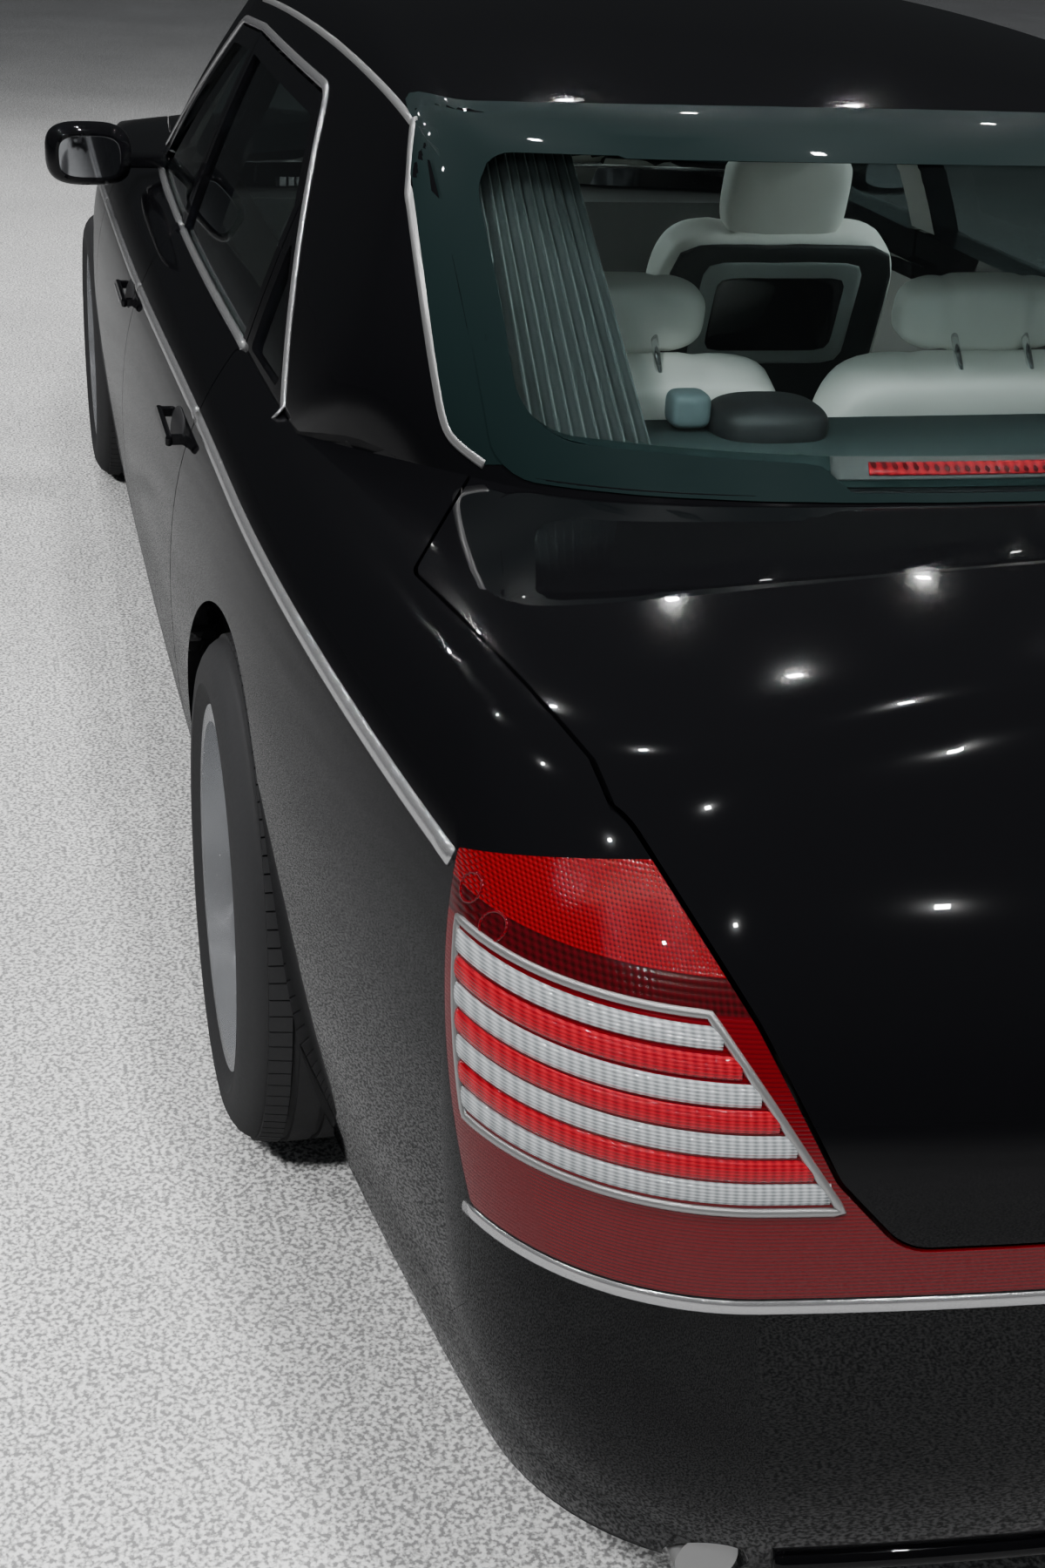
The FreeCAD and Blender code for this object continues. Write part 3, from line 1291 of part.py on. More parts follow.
# Mirrors on the front doors
mirror_x = FRONT - 985
mirror_y = skin_y(BELT + 20)
mirror_head = cuboid(mirror_x - 90, mirror_x + 70, mirror_y + 40, mirror_y + 245, BELT - 25, BELT + 115)
mirror_head = mirror_head.makeFillet(40, mirror_head.Edges)
mirror_foot = cuboid(mirror_x - 40, mirror_x + 40, mirror_y - 40, mirror_y + 80, BELT + 16, BELT + 46)
mirror_shape = mirror_head.fuse(mirror_foot).cut(cabin(0).fuse(lower(0)))
left["mirror"] = feature("left_mirror", max(mirror_shape.Solids, key=lambda s: s.Volume))

for key, item in list(left.items()):
    mirror_of(item, item.Label.replace("left", "right"))
doc.recompute()

FIXED_NODES = ["windscreen", "rear_window", "quarter_windows", "roof_panel", "boot_lid", "bonnet", "tail_lamps",
               "headlamps", "rear_bumper", "front_bumper", "grille", "wheel_arch_liners", "floor_pan",
               "front_axle", "rear_axle", "engine", "exhaust", "front_seats", "rear_bench", "parcel_shelf",
               "dashboard", "steering_wheel"]
names = FIXED_NODES + [item.Label for item in left.values()]
names += [item.Label.replace("left", "right") for item in left.values()]
for item in doc.Objects:
    if "Invalid" in item.State or "Error" in item.State:
        raise RuntimeError(f"{item.Label} failed: {item.State}")
os.makedirs("parts", exist_ok=True)
for name in names:
    item = doc.getObjectsByLabel(name)[0]
    shape = item.Shape
    if shape.isNull() or not shape.isValid() or not shape.Solids:
        raise RuntimeError(f"{name} has no sound solid")
    print(name, len(shape.Solids), round(shape.Volume / 1e6, 1))
for name in names:
    doc.getObjectsByLabel(name)[0].Shape.exportStep(f"parts/{name}.step")
print(len(names), "sub-parts")
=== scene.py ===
"""Looks of a large four-door sedan car: paint, glass, lamps, bright trim, wheels and cabin.

Everything is in metres in the frame that the CAD part uses: +X forward, +Y to the left and +Z up,
with the origin on the ground under the middle of the car.
"""

import json
import math

import bmesh
import bpy
import numpy as np
from bpy.props import FloatProperty, FloatVectorProperty, IntProperty, PointerProperty
from mathutils import Matrix, Vector
from mathutils.bvhtree import BVHTree


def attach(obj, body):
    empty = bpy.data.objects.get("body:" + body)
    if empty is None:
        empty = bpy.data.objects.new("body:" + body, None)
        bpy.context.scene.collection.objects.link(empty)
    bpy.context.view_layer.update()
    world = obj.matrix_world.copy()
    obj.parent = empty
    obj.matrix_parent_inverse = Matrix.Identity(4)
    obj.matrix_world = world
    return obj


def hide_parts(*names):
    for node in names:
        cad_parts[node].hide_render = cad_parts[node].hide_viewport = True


bl_info = {
    "name": "Sedan car looks",
    "version": (1, 0, 0),
    "blender": (4, 5, 0),
    "location": "View3D > Sidebar > Sedan",
    "description": "Builds the paint, glass, lamps, trim, wheels and cabin of a sedan car",
    "category": "Object",
}

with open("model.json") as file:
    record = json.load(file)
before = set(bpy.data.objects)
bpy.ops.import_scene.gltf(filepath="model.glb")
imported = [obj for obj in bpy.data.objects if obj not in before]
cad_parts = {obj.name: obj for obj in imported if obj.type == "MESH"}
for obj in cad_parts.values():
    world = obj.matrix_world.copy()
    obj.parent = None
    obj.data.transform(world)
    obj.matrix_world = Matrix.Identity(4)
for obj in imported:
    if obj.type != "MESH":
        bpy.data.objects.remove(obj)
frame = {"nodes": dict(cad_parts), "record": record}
NODES = frame["nodes"]
BODIES = frame["record"]["behaviour"]["bodies"]
BODY_OF = {node: body for body, nodes in BODIES.items() for node in nodes}

# Main sizes of the body
LENGTH, WHEELBASE, FRONT_OVERHANG, WIDTH = 5.734, 3.390, 1.006, 1.980
ROOF, BELT, BELT_WIDTH = 1.568, 1.020, 1.744
NOSE = LENGTH / 2
FRONT = NOSE - FRONT_OVERHANG
REAR = FRONT - WHEELBASE
HALF = WIDTH / 2
HUB_HEIGHT = 0.3775
WHEELS = {  # middle of the left tyres
    "front": (FRONT, 0.8375),
    "rear": (REAR, 0.845),
}
SIDES = {"left": 1, "right": -1}


# The body's form: the same outlines as the CAD part's, as depths inside its surfaces

BODY_ROWS = (  # height, side in from the half width, tail and nose in from the ends
    (0.200, 0.085, 0.060, 0.075), (0.330, 0.035, 0.008, 0.012), (0.520, 0.005, 0.000, 0.000),
    (0.700, 0.002, 0.018, 0.020), (0.850, 0.024, 0.072, 0.060), (0.960, 0.068, 0.170, 0.130),
    (1.090, 0.160, 0.330, 0.300), (1.150, 0.210, 0.400, 0.385),
)
TOP_ROWS = (  # place along the car, height in the middle, fall at one metre out
    (REAR - 1.500, 0.960, 0.150), (REAR - 1.150, 1.060, 0.150), (REAR - 0.550, 1.112, 0.145),
    (REAR + 0.500, 1.116, 0.120), (FRONT - 0.890, 1.085, 0.105), (FRONT, 1.045, 0.095),
    (FRONT + 0.500, 0.995, 0.085), (FRONT + 0.850, 0.935, 0.080), (FRONT + 1.100, 0.850, 0.070),
)
CABIN_ROWS = (  # ahead of the rear axle, roof below the highest, side in from the belt's half width
    (-0.900, 0.278, 0.272), (-0.550, 0.198, 0.142), (-0.200, 0.128, 0.060), (0.150, 0.068, 0.022),
    (0.500, 0.032, 0.008), (1.100, 0.004, 0.000), (1.700, 0.004, 0.004), (2.300, 0.033, 0.022),
    (2.900, 0.098, 0.054),
)
SCREEN_ROWS = (  # height from the belt, rear screen from the rear axle, its radius, windscreen
    (-0.220, -1.000, 0.700, -0.465), (-0.020, -0.700, 0.700, -0.700), (0.180, -0.420, 0.850, -0.935),
    (0.380, -0.140, 1.010, -1.190), (0.600, 0.200, 1.150, -1.480),
)
SIDE_RADIUS = 60.0
ENDS = {  # column, axle, taper's start, taper radius, corner radius, end radius, way
    "tail": (1, REAR, 0.200, 8.8, 0.300, 3.8, -1),
    "nose": (2, FRONT, -0.300, 5.5, 0.380, 3.0, 1),
}
SIDE_LEAN, SIDE_BOW, ROOF_BOW, RAIL_RADIUS = math.radians(18), 2.6, 4.5, 0.130
SIDE_DROP = 0.020  # how far below the belt the cabin's half width is measured
SCREEN_HALF, WINDSCREEN_RADIUS = 0.630, 2.3


def curve_through(rows):
    """Natural cubic curve through rows, by the place in their first column."""
    rows = np.array(rows)
    places, values = rows[:, 0], rows[:, 1:]
    count = len(places)
    step = np.diff(places)
    matrix = np.eye(count)
    right = np.zeros((count, values.shape[1]))
    for i in range(1, count - 1):
        matrix[i, i - 1:i + 2] = step[i - 1], 2 * (step[i - 1] + step[i]), step[i]
        slopes = (values[i + 1] - values[i]) / step[i], (values[i] - values[i - 1]) / step[i - 1]
        right[i] = 6 * (slopes[0] - slopes[1])
    bend = np.linalg.solve(matrix, right)

    def at(where):
        where = np.clip(where, places[0], places[-1])
        i = np.clip(np.searchsorted(places, where) - 1, 0, count - 2)
        a = ((places[i + 1] - where) / step[i])[:, None]
        b = 1 - a
        share = (step[i] ** 2 / 6)[:, None]
        curved = ((a ** 3 - a) * bend[i] + (b ** 3 - b) * bend[i + 1]) * share
        return a * values[i] + b * values[i + 1] + curved

    return at


body_at, top_at, cabin_at, screen_at = map(curve_through, (BODY_ROWS, TOP_ROWS, CABIN_ROWS, SCREEN_ROWS))


def touching(first, first_radius, second, second_radius, radius):
    """The two centres of circles that touch two larger circles from inside."""
    a = first_radius - radius
    b = second_radius - radius
    gap = second - first
    span = np.hypot(gap[:, 0], gap[:, 1])
    along = (a * a - b * b + span ** 2) / (2 * span)
    off = np.sqrt(a * a - along ** 2)
    way = gap / span[:, None]
    middle = first + along[:, None] * way
    aside = np.stack([-way[:, 1], way[:, 0]], 1) * off[:, None]
    return middle + aside, middle - aside


def length_of(pairs):
    """Lengths of two-number rows."""
    return np.hypot(pairs[:, 0], pairs[:, 1])


def unit(rows):
    """Rows brought to a length of one."""
    return rows / np.linalg.norm(rows, axis=1)[:, None]


def turn_of(base, tip, points):
    """Which side of the line from base to tip the points are on."""
    way = tip - base
    return (points[:, 0] - base[:, 0]) * way[:, 1] - (points[:, 1] - base[:, 1]) * way[:, 0]


def plan_depth(points):
    """Depth inside the body's outline in plan."""
    x, y, z = points[:, 0], np.abs(points[:, 1]), points[:, 2]
    rows = body_at(z)
    flat = np.stack([x, y], 1)
    side = np.stack([0 * z, HALF - rows[:, 0] - SIDE_RADIUS], 1)
    depth = SIDE_RADIUS - length_of(flat - side)
    for column, axle, start, taper_radius, corner_radius, end_radius, way in ENDS.values():
        end = way * (NOSE - rows[:, column])
        at = axle + start
        joint = np.stack([0 * z + at, side[:, 1] + math.sqrt(SIDE_RADIUS ** 2 - at ** 2)], 1)
        taper = side + (joint - side) * (1 - taper_radius / SIDE_RADIUS)
        cap = np.stack([end - way * end_radius, 0 * z], 1)
        one, other = touching(taper, taper_radius, cap, end_radius, corner_radius)
        nearer = (way * one[:, 0] + one[:, 1] > way * other[:, 0] + other[:, 1])[:, None]
        corner = np.where(nearer, one, other)
        tapered = way * turn_of(side, taper, flat) > 0
        turned = tapered & (way * turn_of(taper, corner, flat) > 0)
        capped = turned & (way * turn_of(cap, corner, flat) > 0)
        depth = np.where(tapered, taper_radius - length_of(flat - taper), depth)
        depth = np.where(turned, corner_radius - length_of(flat - corner), depth)
        depth = np.where(capped, end_radius - length_of(flat - cap), depth)
    return depth


def top_depth(points):
    """Depth below the crown of the bonnet and the boot."""
    rows = top_at(points[:, 0])
    return rows[:, 0] - rows[:, 1] * points[:, 1] ** 2 - points[:, 2]


def tube_depth(points):
    """Depth inside the cabin's sides, rails and roof."""
    x, y, z = points[:, 0], np.abs(points[:, 1]), points[:, 2]
    rows = cabin_at(x - REAR)
    half = BELT_WIDTH / 2 - rows[:, 1]
    low = BELT - SIDE_DROP - SIDE_BOW * math.sin(SIDE_LEAN)
    side = np.stack([half - SIDE_BOW * math.cos(SIDE_LEAN), 0 * x + low], 1)
    roof = np.stack([0 * x, ROOF - rows[:, 0] - ROOF_BOW], 1)
    one, other = touching(side, SIDE_BOW, roof, ROOF_BOW, RAIL_RADIUS)
    rail = np.where((one.sum(1) > other.sum(1))[:, None], one, other)
    flat = np.stack([y, z], 1)
    depth = SIDE_BOW - length_of(flat - side)
    over_side = turn_of(side, rail, flat) < 0
    over_roof = turn_of(roof, rail, flat) < 0
    depth = np.where(over_side, RAIL_RADIUS - length_of(flat - rail), depth)
    return np.where(over_side & over_roof, ROOF_BOW - length_of(flat - roof), depth)


def rear_depth(points):
    """Depth ahead of the rear screen's swept face."""
    x, y = points[:, 0], np.abs(points[:, 1])
    rows = screen_at(points[:, 2] - BELT)
    radius = rows[:, 1]
    centre = REAR + rows[:, 0] + radius
    drop = np.sqrt(radius ** 2 - SCREEN_HALF ** 2)
    bowed = radius - np.hypot(x - centre, y)
    straight = (x - centre + drop) * drop / radius - (y - SCREEN_HALF) * SCREEN_HALF / radius
    return np.where(y > SCREEN_HALF, straight, bowed)


def wind_depth(points):
    """Depth behind the windscreen's face."""
    rows = screen_at(points[:, 2] - BELT)
    return WINDSCREEN_RADIUS - np.hypot(points[:, 0] - FRONT - rows[:, 2] + WINDSCREEN_RADIUS, points[:, 1])


LOWER = (plan_depth, top_depth)
CABIN = (tube_depth, rear_depth, wind_depth)
SOFT_EDGE = 0.016  # how widely shading rounds the edges where faces meet
CLOSE = 0.004  # the same where pieces are set on the form
REACH = 1e-4  # step of the gradients
WELD = 1e-6  # points nearer than this are one
ROUNDS = 8
FURTHEST = 0.15  # longest step towards the form


def gradient(depth, points):
    """Gradient of a depth at many points."""
    rows = []
    for axis in np.eye(3) * REACH:
        rows.append((depth(points + axis) - depth(points - axis)) / (2 * REACH))
    return np.stack(rows, 1)


def form_of(depths, points, soft=SOFT_EDGE):
    """Outward direction and depth of a group of faces, rounded where they meet."""
    total = 0
    least = None
    for depth in depths:
        slope = gradient(depth, points)
        steep = np.linalg.norm(slope, axis=1)
        value = depth(points) / steep
        weight = np.exp(-np.clip(value, -0.1, 0.5) / soft)
        total = total - slope / steep[:, None] * weight[:, None]
        least = value if least is None else np.minimum(least, value)
    return unit(total), least


def settle(points, depths, proud=0.0, axis=None):
    """Points moved onto a group of faces or proud of it, along the faces' normals or along one axis."""
    points = np.array(points, float).reshape(-1, 3)
    for _ in range(ROUNDS):
        way, deep = form_of(depths, points, CLOSE)
        if axis is None:
            points = points + way * (deep + proud)[:, None]
        else:
            points[:, axis] += np.clip((deep + proud) / way[:, axis], -FURTHEST, FURTHEST)
    return points


faces_of = {}
ABOVE, BELOW = 0.020, 0.005  # how far off the form a CAD face may lie
EVENED = 4  # neighbours on each side that even out a point's place


def lie_on(points, depths, nodes, proud=0.0, rows=1):
    """Points on the form moved onto the outer faces of CAD nodes close by, or proud of them, evened out."""
    ways = form_of(depths, points, 0.012)[0]
    for node in nodes:
        if node not in faces_of:
            mesh = NODES[node].data
            places = [v.co for v in mesh.vertices]
            faces_of[node] = BVHTree.FromPolygons(places, [f.vertices for f in mesh.polygons])
    steps = []
    for point, way in zip(points, ways):
        start = Vector(point + way * ABOVE)
        found = [faces_of[node].ray_cast(start, Vector(-way), ABOVE + BELOW)[3] for node in nodes]
        found = [ABOVE - distance for distance in found if distance is not None]
        steps.append(max(found, default=0))
    steps = np.reshape(steps, (rows, -1))
    around = np.pad(steps, ((0, 0), (EVENED, EVENED)), "edge")
    smooth = np.median(np.lib.stride_tricks.sliding_window_view(around, 2 * EVENED + 1, 1), 2)
    return points + ways * (smooth.ravel()[:, None] + proud)


# Meshes

def finished(bm, name, body, finishes, replaces=()):
    """Object from a bmesh, at the origin, with named finishes and smooth shading, riding on a body."""
    mesh = bpy.data.meshes.new(name)
    bm.to_mesh(mesh)
    bm.free()
    for finish in finishes.split():
        mesh.materials.append(finish_of(finish))
    mesh.shade_smooth()
    piece = bpy.data.objects.new(name, mesh)
    bpy.context.scene.collection.objects.link(piece)
    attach(piece, body)
    if replaces:
        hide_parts(*replaces)
    return piece


def coordinates(mesh):
    """Vertex places of a mesh as rows."""
    places = np.zeros(len(mesh.vertices) * 3, np.float32)
    mesh.vertices.foreach_get("co", places)
    return places.reshape(-1, 3).astype(float)


def from_faces(mesh, name, kind, width=1):
    """Numbers read from a mesh's polygons."""
    values = np.zeros(len(mesh.polygons) * width, kind)
    mesh.polygons.foreach_get(name, values)
    return values.reshape(-1, width) if width > 1 else values


def refined(node, longest=0.06):
    """Mesh of a CAD node, merged, with its long outer edges split."""
    bm = bmesh.new()
    bm.from_mesh(NODES[node].data)
    bmesh.ops.remove_doubles(bm, verts=bm.verts, dist=1e-5)
    for _ in range(7):
        places = np.array([v.co for v in bm.verts])
        deep = np.minimum(abs(form_of(LOWER, places)[1]), abs(form_of(CABIN, places)[1]))
        bm.verts.index_update()
        long = [e for e in bm.edges if e.calc_length() > longest
                and min(deep[e.verts[0].index], deep[e.verts[1].index]) < 0.012]
        if not long:
            break
        bmesh.ops.subdivide_edges(bm, edges=long, cuts=1)
        bmesh.ops.triangulate(bm, faces=[f for f in bm.faces if len(f.verts) > 3])
    return bm


ALIKE, REVERSED, LINING = 0.8, -0.4, 0.015  # agreement with the form's direction; least depth of the lining


def follow_form(piece):
    """Shading that follows the body's form, and the second material on faces inside its skin."""
    mesh = piece.data
    places = coordinates(mesh)
    centres = from_faces(mesh, "center", np.float32, 3).astype(float)
    facing = from_faces(mesh, "normal", np.float32, 3).astype(float)
    at_points = [form_of(group, places)[0] for group in (LOWER, CABIN)]
    at_faces = [form_of(group, centres) for group in (LOWER, CABIN)]
    cabin_nearer = abs(at_faces[1][1]) < abs(at_faces[0][1])
    way = np.where(cabin_nearer[:, None], at_faces[1][0], at_faces[0][0])
    deep = np.where(cabin_nearer, at_faces[1][1], at_faces[0][1])
    match = (way * facing).sum(1)
    starts = from_faces(mesh, "loop_start", np.int32)
    counts = from_faces(mesh, "loop_total", np.int32)
    face_of = np.repeat(np.arange(len(starts)), counts)
    point_of = np.zeros(len(mesh.loops), np.int32)
    mesh.loops.foreach_get("vertex_index", point_of)
    smooth = np.where(cabin_nearer[face_of][:, None], at_points[1][point_of], at_points[0][point_of])
    smooth = smooth * np.sign(match[face_of])[:, None]
    flat = facing[face_of]
    follows = (abs(match) > ALIKE)[face_of][:, None]
    mesh.normals_split_custom_set(np.where(follows, smooth, flat).tolist())
    if len(mesh.materials) > 1:
        deep = np.maximum(at_faces[0][1], at_faces[1][1])
        inside = (deep > LINING) & (match < REVERSED)
        mesh.polygons.foreach_set("material_index", inside.astype(np.int32))
    mesh.update()


def skin_piece(node, name, finishes, longest):
    """Piece that stands for a CAD node of the body's skin."""
    piece = finished(refined(node, longest), name, BODY_OF[node], finishes, (node,))
    follow_form(piece)
    return piece


def surface(columns, rows, place):
    """Grid whose points are placed by a function of two arrays of shares from 0 to 1."""
    bm = bmesh.new()
    bmesh.ops.create_grid(bm, x_segments=columns, y_segments=rows, size=1)
    flat = np.array([v.co for v in bm.verts])
    shares = (flat[:, :2] - flat[:, :2].min(0)) / (flat[:, :2].max(0) - flat[:, :2].min(0))
    uv = bm.loops.layers.uv.new("UVMap")
    for vert, share in zip(bm.verts, shares):
        for loop in vert.link_loops:
            loop[uv].uv = share
    for vert, spot in zip(bm.verts, place(shares[:, 0], shares[:, 1])):
        vert.co = spot
    return bm


def thickened(bm, thickness=0.001):
    """Sheet given a thickness, its seam closed first."""
    bmesh.ops.remove_doubles(bm, verts=bm.verts, dist=WELD)
    bmesh.ops.solidify(bm, geom=bm.faces, thickness=thickness)
    bmesh.ops.recalc_face_normals(bm, faces=bm.faces)
    return bm


def rounded(corners, closed=False, steps=8):
    """Line through corners of (across, up, radius), its corners as arcs."""
    corners = np.array(corners, float)
    count = len(corners)
    line = []
    for i, (*spot, radius) in enumerate(corners):
        spot = np.array(spot)
        if not radius or (not closed and i in (0, count - 1)):
            line.append(spot)
            continue
        ways = [corners[(i + step) % count, :2] - spot for step in (-1, 1)]
        before, after = (way / np.linalg.norm(way) for way in ways)
        half = math.acos(np.clip(before @ after, -1, 1)) / 2
        middle = (before + after) / np.linalg.norm(before + after)
        centre = spot + middle * radius / math.sin(half)
        first = spot + before * radius / math.tan(half) - centre
        last = spot + after * radius / math.tan(half) - centre
        turn = math.pi - 2 * half
        for share in np.linspace(0, 1, steps + 1):
            arc = first * math.sin((1 - share) * turn) + last * math.sin(share * turn)
            line.append(centre + arc / math.sin(turn))
    if closed:
        line.append(line[0])
    return np.array(line)


def evenly(line, shares):
    """Places at shares of a line's length."""
    line = np.array(line, float)
    steps = np.linalg.norm(np.diff(line, axis=0), axis=1)
    places = np.concatenate([[0], np.cumsum(steps)]) / steps.sum()
    return np.stack([np.interp(shares, places, column) for column in line.T], 1)


def points_at(x, y, z):
    """Rows of points from columns, of which a single number stands for all rows."""
    return np.column_stack(np.broadcast_arrays(x, y, z))


def beside(line, distance):
    """Line in a plane moved to its left."""
    way = unit(np.gradient(line, axis=0))
    return line + np.stack([-way[:, 1], way[:, 0]], 1) * distance


def level_line(plan, height, depths, columns):
    """Line at one height on the form, near points given in plan."""
    shares = np.linspace(0, 1, columns + 1)
    line = evenly([(x, y, height) for x, y in plan], shares)
    for _ in range(4):
        line = settle(line, depths)
        line[:, 2] = height
    return evenly(line, shares)


def half_round(width, height, sunk=0.002, steps=6):
    """Section of a strip: half an ellipse on a short foot."""
    turn = np.linspace(0, math.pi, steps + 1)
    arc = np.stack([np.cos(turn) * width / 2, np.sin(turn) * height], 1)
    return np.vstack([arc, [(-width / 2, -sunk), (width / 2, -sunk)]])


def strip(path, across, outward, section, columns, ends=True):
    """Bar along a path: a section of (across, out) points swept along it, closed at its ends.

    path, across and outward are rows of points and directions for each column.
    """
    section = np.array(section, float)
    count = len(section)

    def place(u, v):
        i = np.rint(u * columns).astype(int)
        j = np.rint(v * count).astype(int) % count
        return path[i] + across[i] * section[j, 0][:, None] + outward[i] * section[j, 1][:, None]

    bm = surface(columns, count, place)
    bmesh.ops.remove_doubles(bm, verts=bm.verts, dist=WELD)
    if ends:
        bmesh.ops.holes_fill(bm, edges=[e for e in bm.edges if len(e.link_faces) == 1], sides=count)
    bmesh.ops.recalc_face_normals(bm, faces=bm.faces)
    return bm


def merged(meshes):
    """One bmesh from several."""
    whole = bmesh.new()
    for bm in meshes:
        mesh = bpy.data.meshes.new("part")
        bm.to_mesh(mesh)
        bm.free()
        whole.from_mesh(mesh)
        bpy.data.meshes.remove(mesh)
    return whole


def mirrored(bm):
    """The same on the car's other side, facing outwards."""
    other = bm.copy()
    bmesh.ops.scale(other, vec=(1, -1, 1), verts=other.verts)
    bmesh.ops.reverse_faces(other, faces=other.faces)
    return other


def form_strip(line, depths, section, columns, axis=None, closed=False, proud=0.0, nodes=()):
    """Strip that lies on the body's form, or on the CAD nodes there, along a line of points."""
    path = settle(evenly(line, np.linspace(0, 1, columns + 1)), depths, proud, axis)
    if nodes:
        path = lie_on(path, depths, nodes)
    way = np.gradient(path, axis=0)
    if closed:
        way[0] = way[-1] = path[1] - path[-2]
    outward = form_of(depths, path, CLOSE)[0]
    across = unit(np.cross(outward, unit(way)))
    return strip(path, across, outward, section, columns, not closed)


def spun(profile, steps):
    """Closed ring from a profile of (radius, place along the axle), spun about the Y axis."""
    bm = bmesh.new()
    verts = [bm.verts.new((0, along, radius)) for radius, along in profile]
    edges = [bm.edges.new((verts[i - 1], vert)) for i, vert in enumerate(verts)]
    bmesh.ops.spin(bm, geom=verts + edges, cent=(0, 0, 0), axis=(0, 1, 0), angle=2 * math.pi, steps=steps,
                   use_merge=True)
    bmesh.ops.remove_doubles(bm, verts=bm.verts, dist=WELD)
    bmesh.ops.recalc_face_normals(bm, faces=bm.faces)
    return bm


def soft_box(size, power=5.0, cuts=14):
    """Box about the origin with crowned faces and rounded edges."""
    bm = bmesh.new()
    bmesh.ops.create_cube(bm, size=2)
    bmesh.ops.subdivide_edges(bm, edges=bm.edges, cuts=cuts, use_grid_fill=True)
    for vert in bm.verts:
        spread = sum(abs(c) ** power for c in vert.co) ** (1 / power)
        vert.co = Vector(c / spread * s / 2 for c, s in zip(vert.co, size))
    return bm


def placed(bm, x, y, z, lean=0.0):
    """The same moved to a place, after leaning rearwards by an angle in degrees."""
    turn = Matrix.Rotation(math.radians(-lean), 4, "Y")
    bmesh.ops.transform(bm, matrix=Matrix.Translation((x, y, z)) @ turn, verts=bm.verts)
    return bm


def channels(bm, places, axis, depth, width=0.012):
    """Sewn channels: the surface drawn in towards the middle along lines at places on an axis."""
    for vert in bm.verts:
        pull = sum(math.exp(-((vert.co[axis] - place) / width) ** 2) for place in places)
        vert.co -= vert.co.normalized() * depth * min(pull, 1)
    return bm


def rod(start, end, radius, segments=24):
    """Cylinder from one point to another."""
    start, end = Vector(start), Vector(end)
    bm = bmesh.new()
    bmesh.ops.create_cone(bm, cap_ends=True, segments=segments, radius1=radius, radius2=radius,
                          depth=(end - start).length)
    turn = (end - start).to_track_quat("Z", "Y").to_matrix().to_4x4()
    bmesh.ops.transform(bm, matrix=Matrix.Translation((start + end) / 2) @ turn, verts=bm.verts)
    return bm


def shade(bm, angle=0.6):
    """Sharp edges past an angle."""
    for edge in bm.edges:
        if len(edge.link_faces) == 2 and edge.calc_face_angle(0) > angle:
            edge.smooth = False
    return bm


# Materials

def material(name, colour=(0.5, 0.5, 0.5), **inputs):
    """Principled material with plain inputs, which are named as the sockets with underscores."""
    made = bpy.data.materials.new(name)
    made.use_nodes = True
    shader = made.node_tree.nodes["Principled BSDF"]
    shader.inputs["Base Color"].default_value = (*colour, 1)
    for key, value in inputs.items():
        shader.inputs[key.replace("_", " ")].default_value = value
    return made


class Tree:
    """Short way to add and join nodes of a material or a group."""

    def __init__(self, tree):
        self.tree = tree
        self.shader = tree.nodes.get("Principled BSDF")

    def add(self, kind, values=(), **settings):
        """Node with its settings, and inputs by place: a number, a colour or a socket to join."""
        node = self.tree.nodes.new(kind)
        for key, value in settings.items():
            setattr(node, key, value)
        for i, value in dict(values).items():
            if isinstance(value, bpy.types.NodeSocket):
                self.tree.links.new(value, node.inputs[i])
            else:
                node.inputs[i].default_value = value
        return node

    def join(self, output, target):
        """Link an output to the shader's input of that name."""
        self.tree.links.new(output, self.shader.inputs[target])

    def math(self, operation, *values):
        """Result of a Math node."""
        return self.add("ShaderNodeMath", dict(enumerate(values)), operation=operation).outputs[0]

    def mix(self, share, first, second):
        """Mixed colour."""
        node = self.add("ShaderNodeMix", {0: share, 6: first, 7: second}, data_type="RGBA")
        return node.outputs[2]

    def spread(self, value, low, high, to_low=0.0, to_high=1.0):
        """Value mapped from one range to another."""
        return self.add("ShaderNodeMapRange", {0: value, 1: low, 2: high, 3: to_low, 4: to_high}).outputs[0]


def new_group(name, inputs, outputs):
    """Shader node group with named sockets, and its tree and ends."""
    group = bpy.data.node_groups.new(name, "ShaderNodeTree")
    for label, kind, value in inputs:
        socket = group.interface.new_socket(name=label, in_out="INPUT", socket_type="NodeSocket" + kind)
        socket.default_value = value
    for label, kind in outputs:
        group.interface.new_socket(name=label, in_out="OUTPUT", socket_type="NodeSocket" + kind)
    tree = Tree(group)
    start = tree.add("NodeGroupInput")
    end = tree.add("NodeGroupOutput")
    return group, tree, start, end


def wear_group():
    """Fine uneven gloss: roughness that varies slightly over the surface, and a height."""
    group, tree, start, end = new_group(
        "Surface grain", (("Scale", "Float", 60.0), ("Roughness", "Float", 0.3), ("Spread", "Float", 0.05)),
        (("Roughness", "Float"), ("Height", "Float")))
    place = tree.add("ShaderNodeTexCoord").outputs["Object"]
    noise = tree.add("ShaderNodeTexNoise", {0: place, 2: start.outputs["Scale"], 3: 4.0})
    shift = tree.math("MULTIPLY", tree.math("SUBTRACT", noise.outputs[0], 0.5), start.outputs["Spread"])
    rough = tree.math("ADD", start.outputs["Roughness"], shift)
    tree.tree.links.new(rough, end.inputs["Roughness"])
    tree.tree.links.new(noise.outputs[0], end.inputs["Height"])
    return group


groups = {}


def placed_group(tree, maker, **values):
    """Node of a shared group, which is made once, with this material's own values."""
    if maker not in groups:
        groups[maker] = maker()
    node = tree.add("ShaderNodeGroup", node_tree=groups[maker])
    for key, value in values.items():
        node.inputs[key].default_value = value
    return node


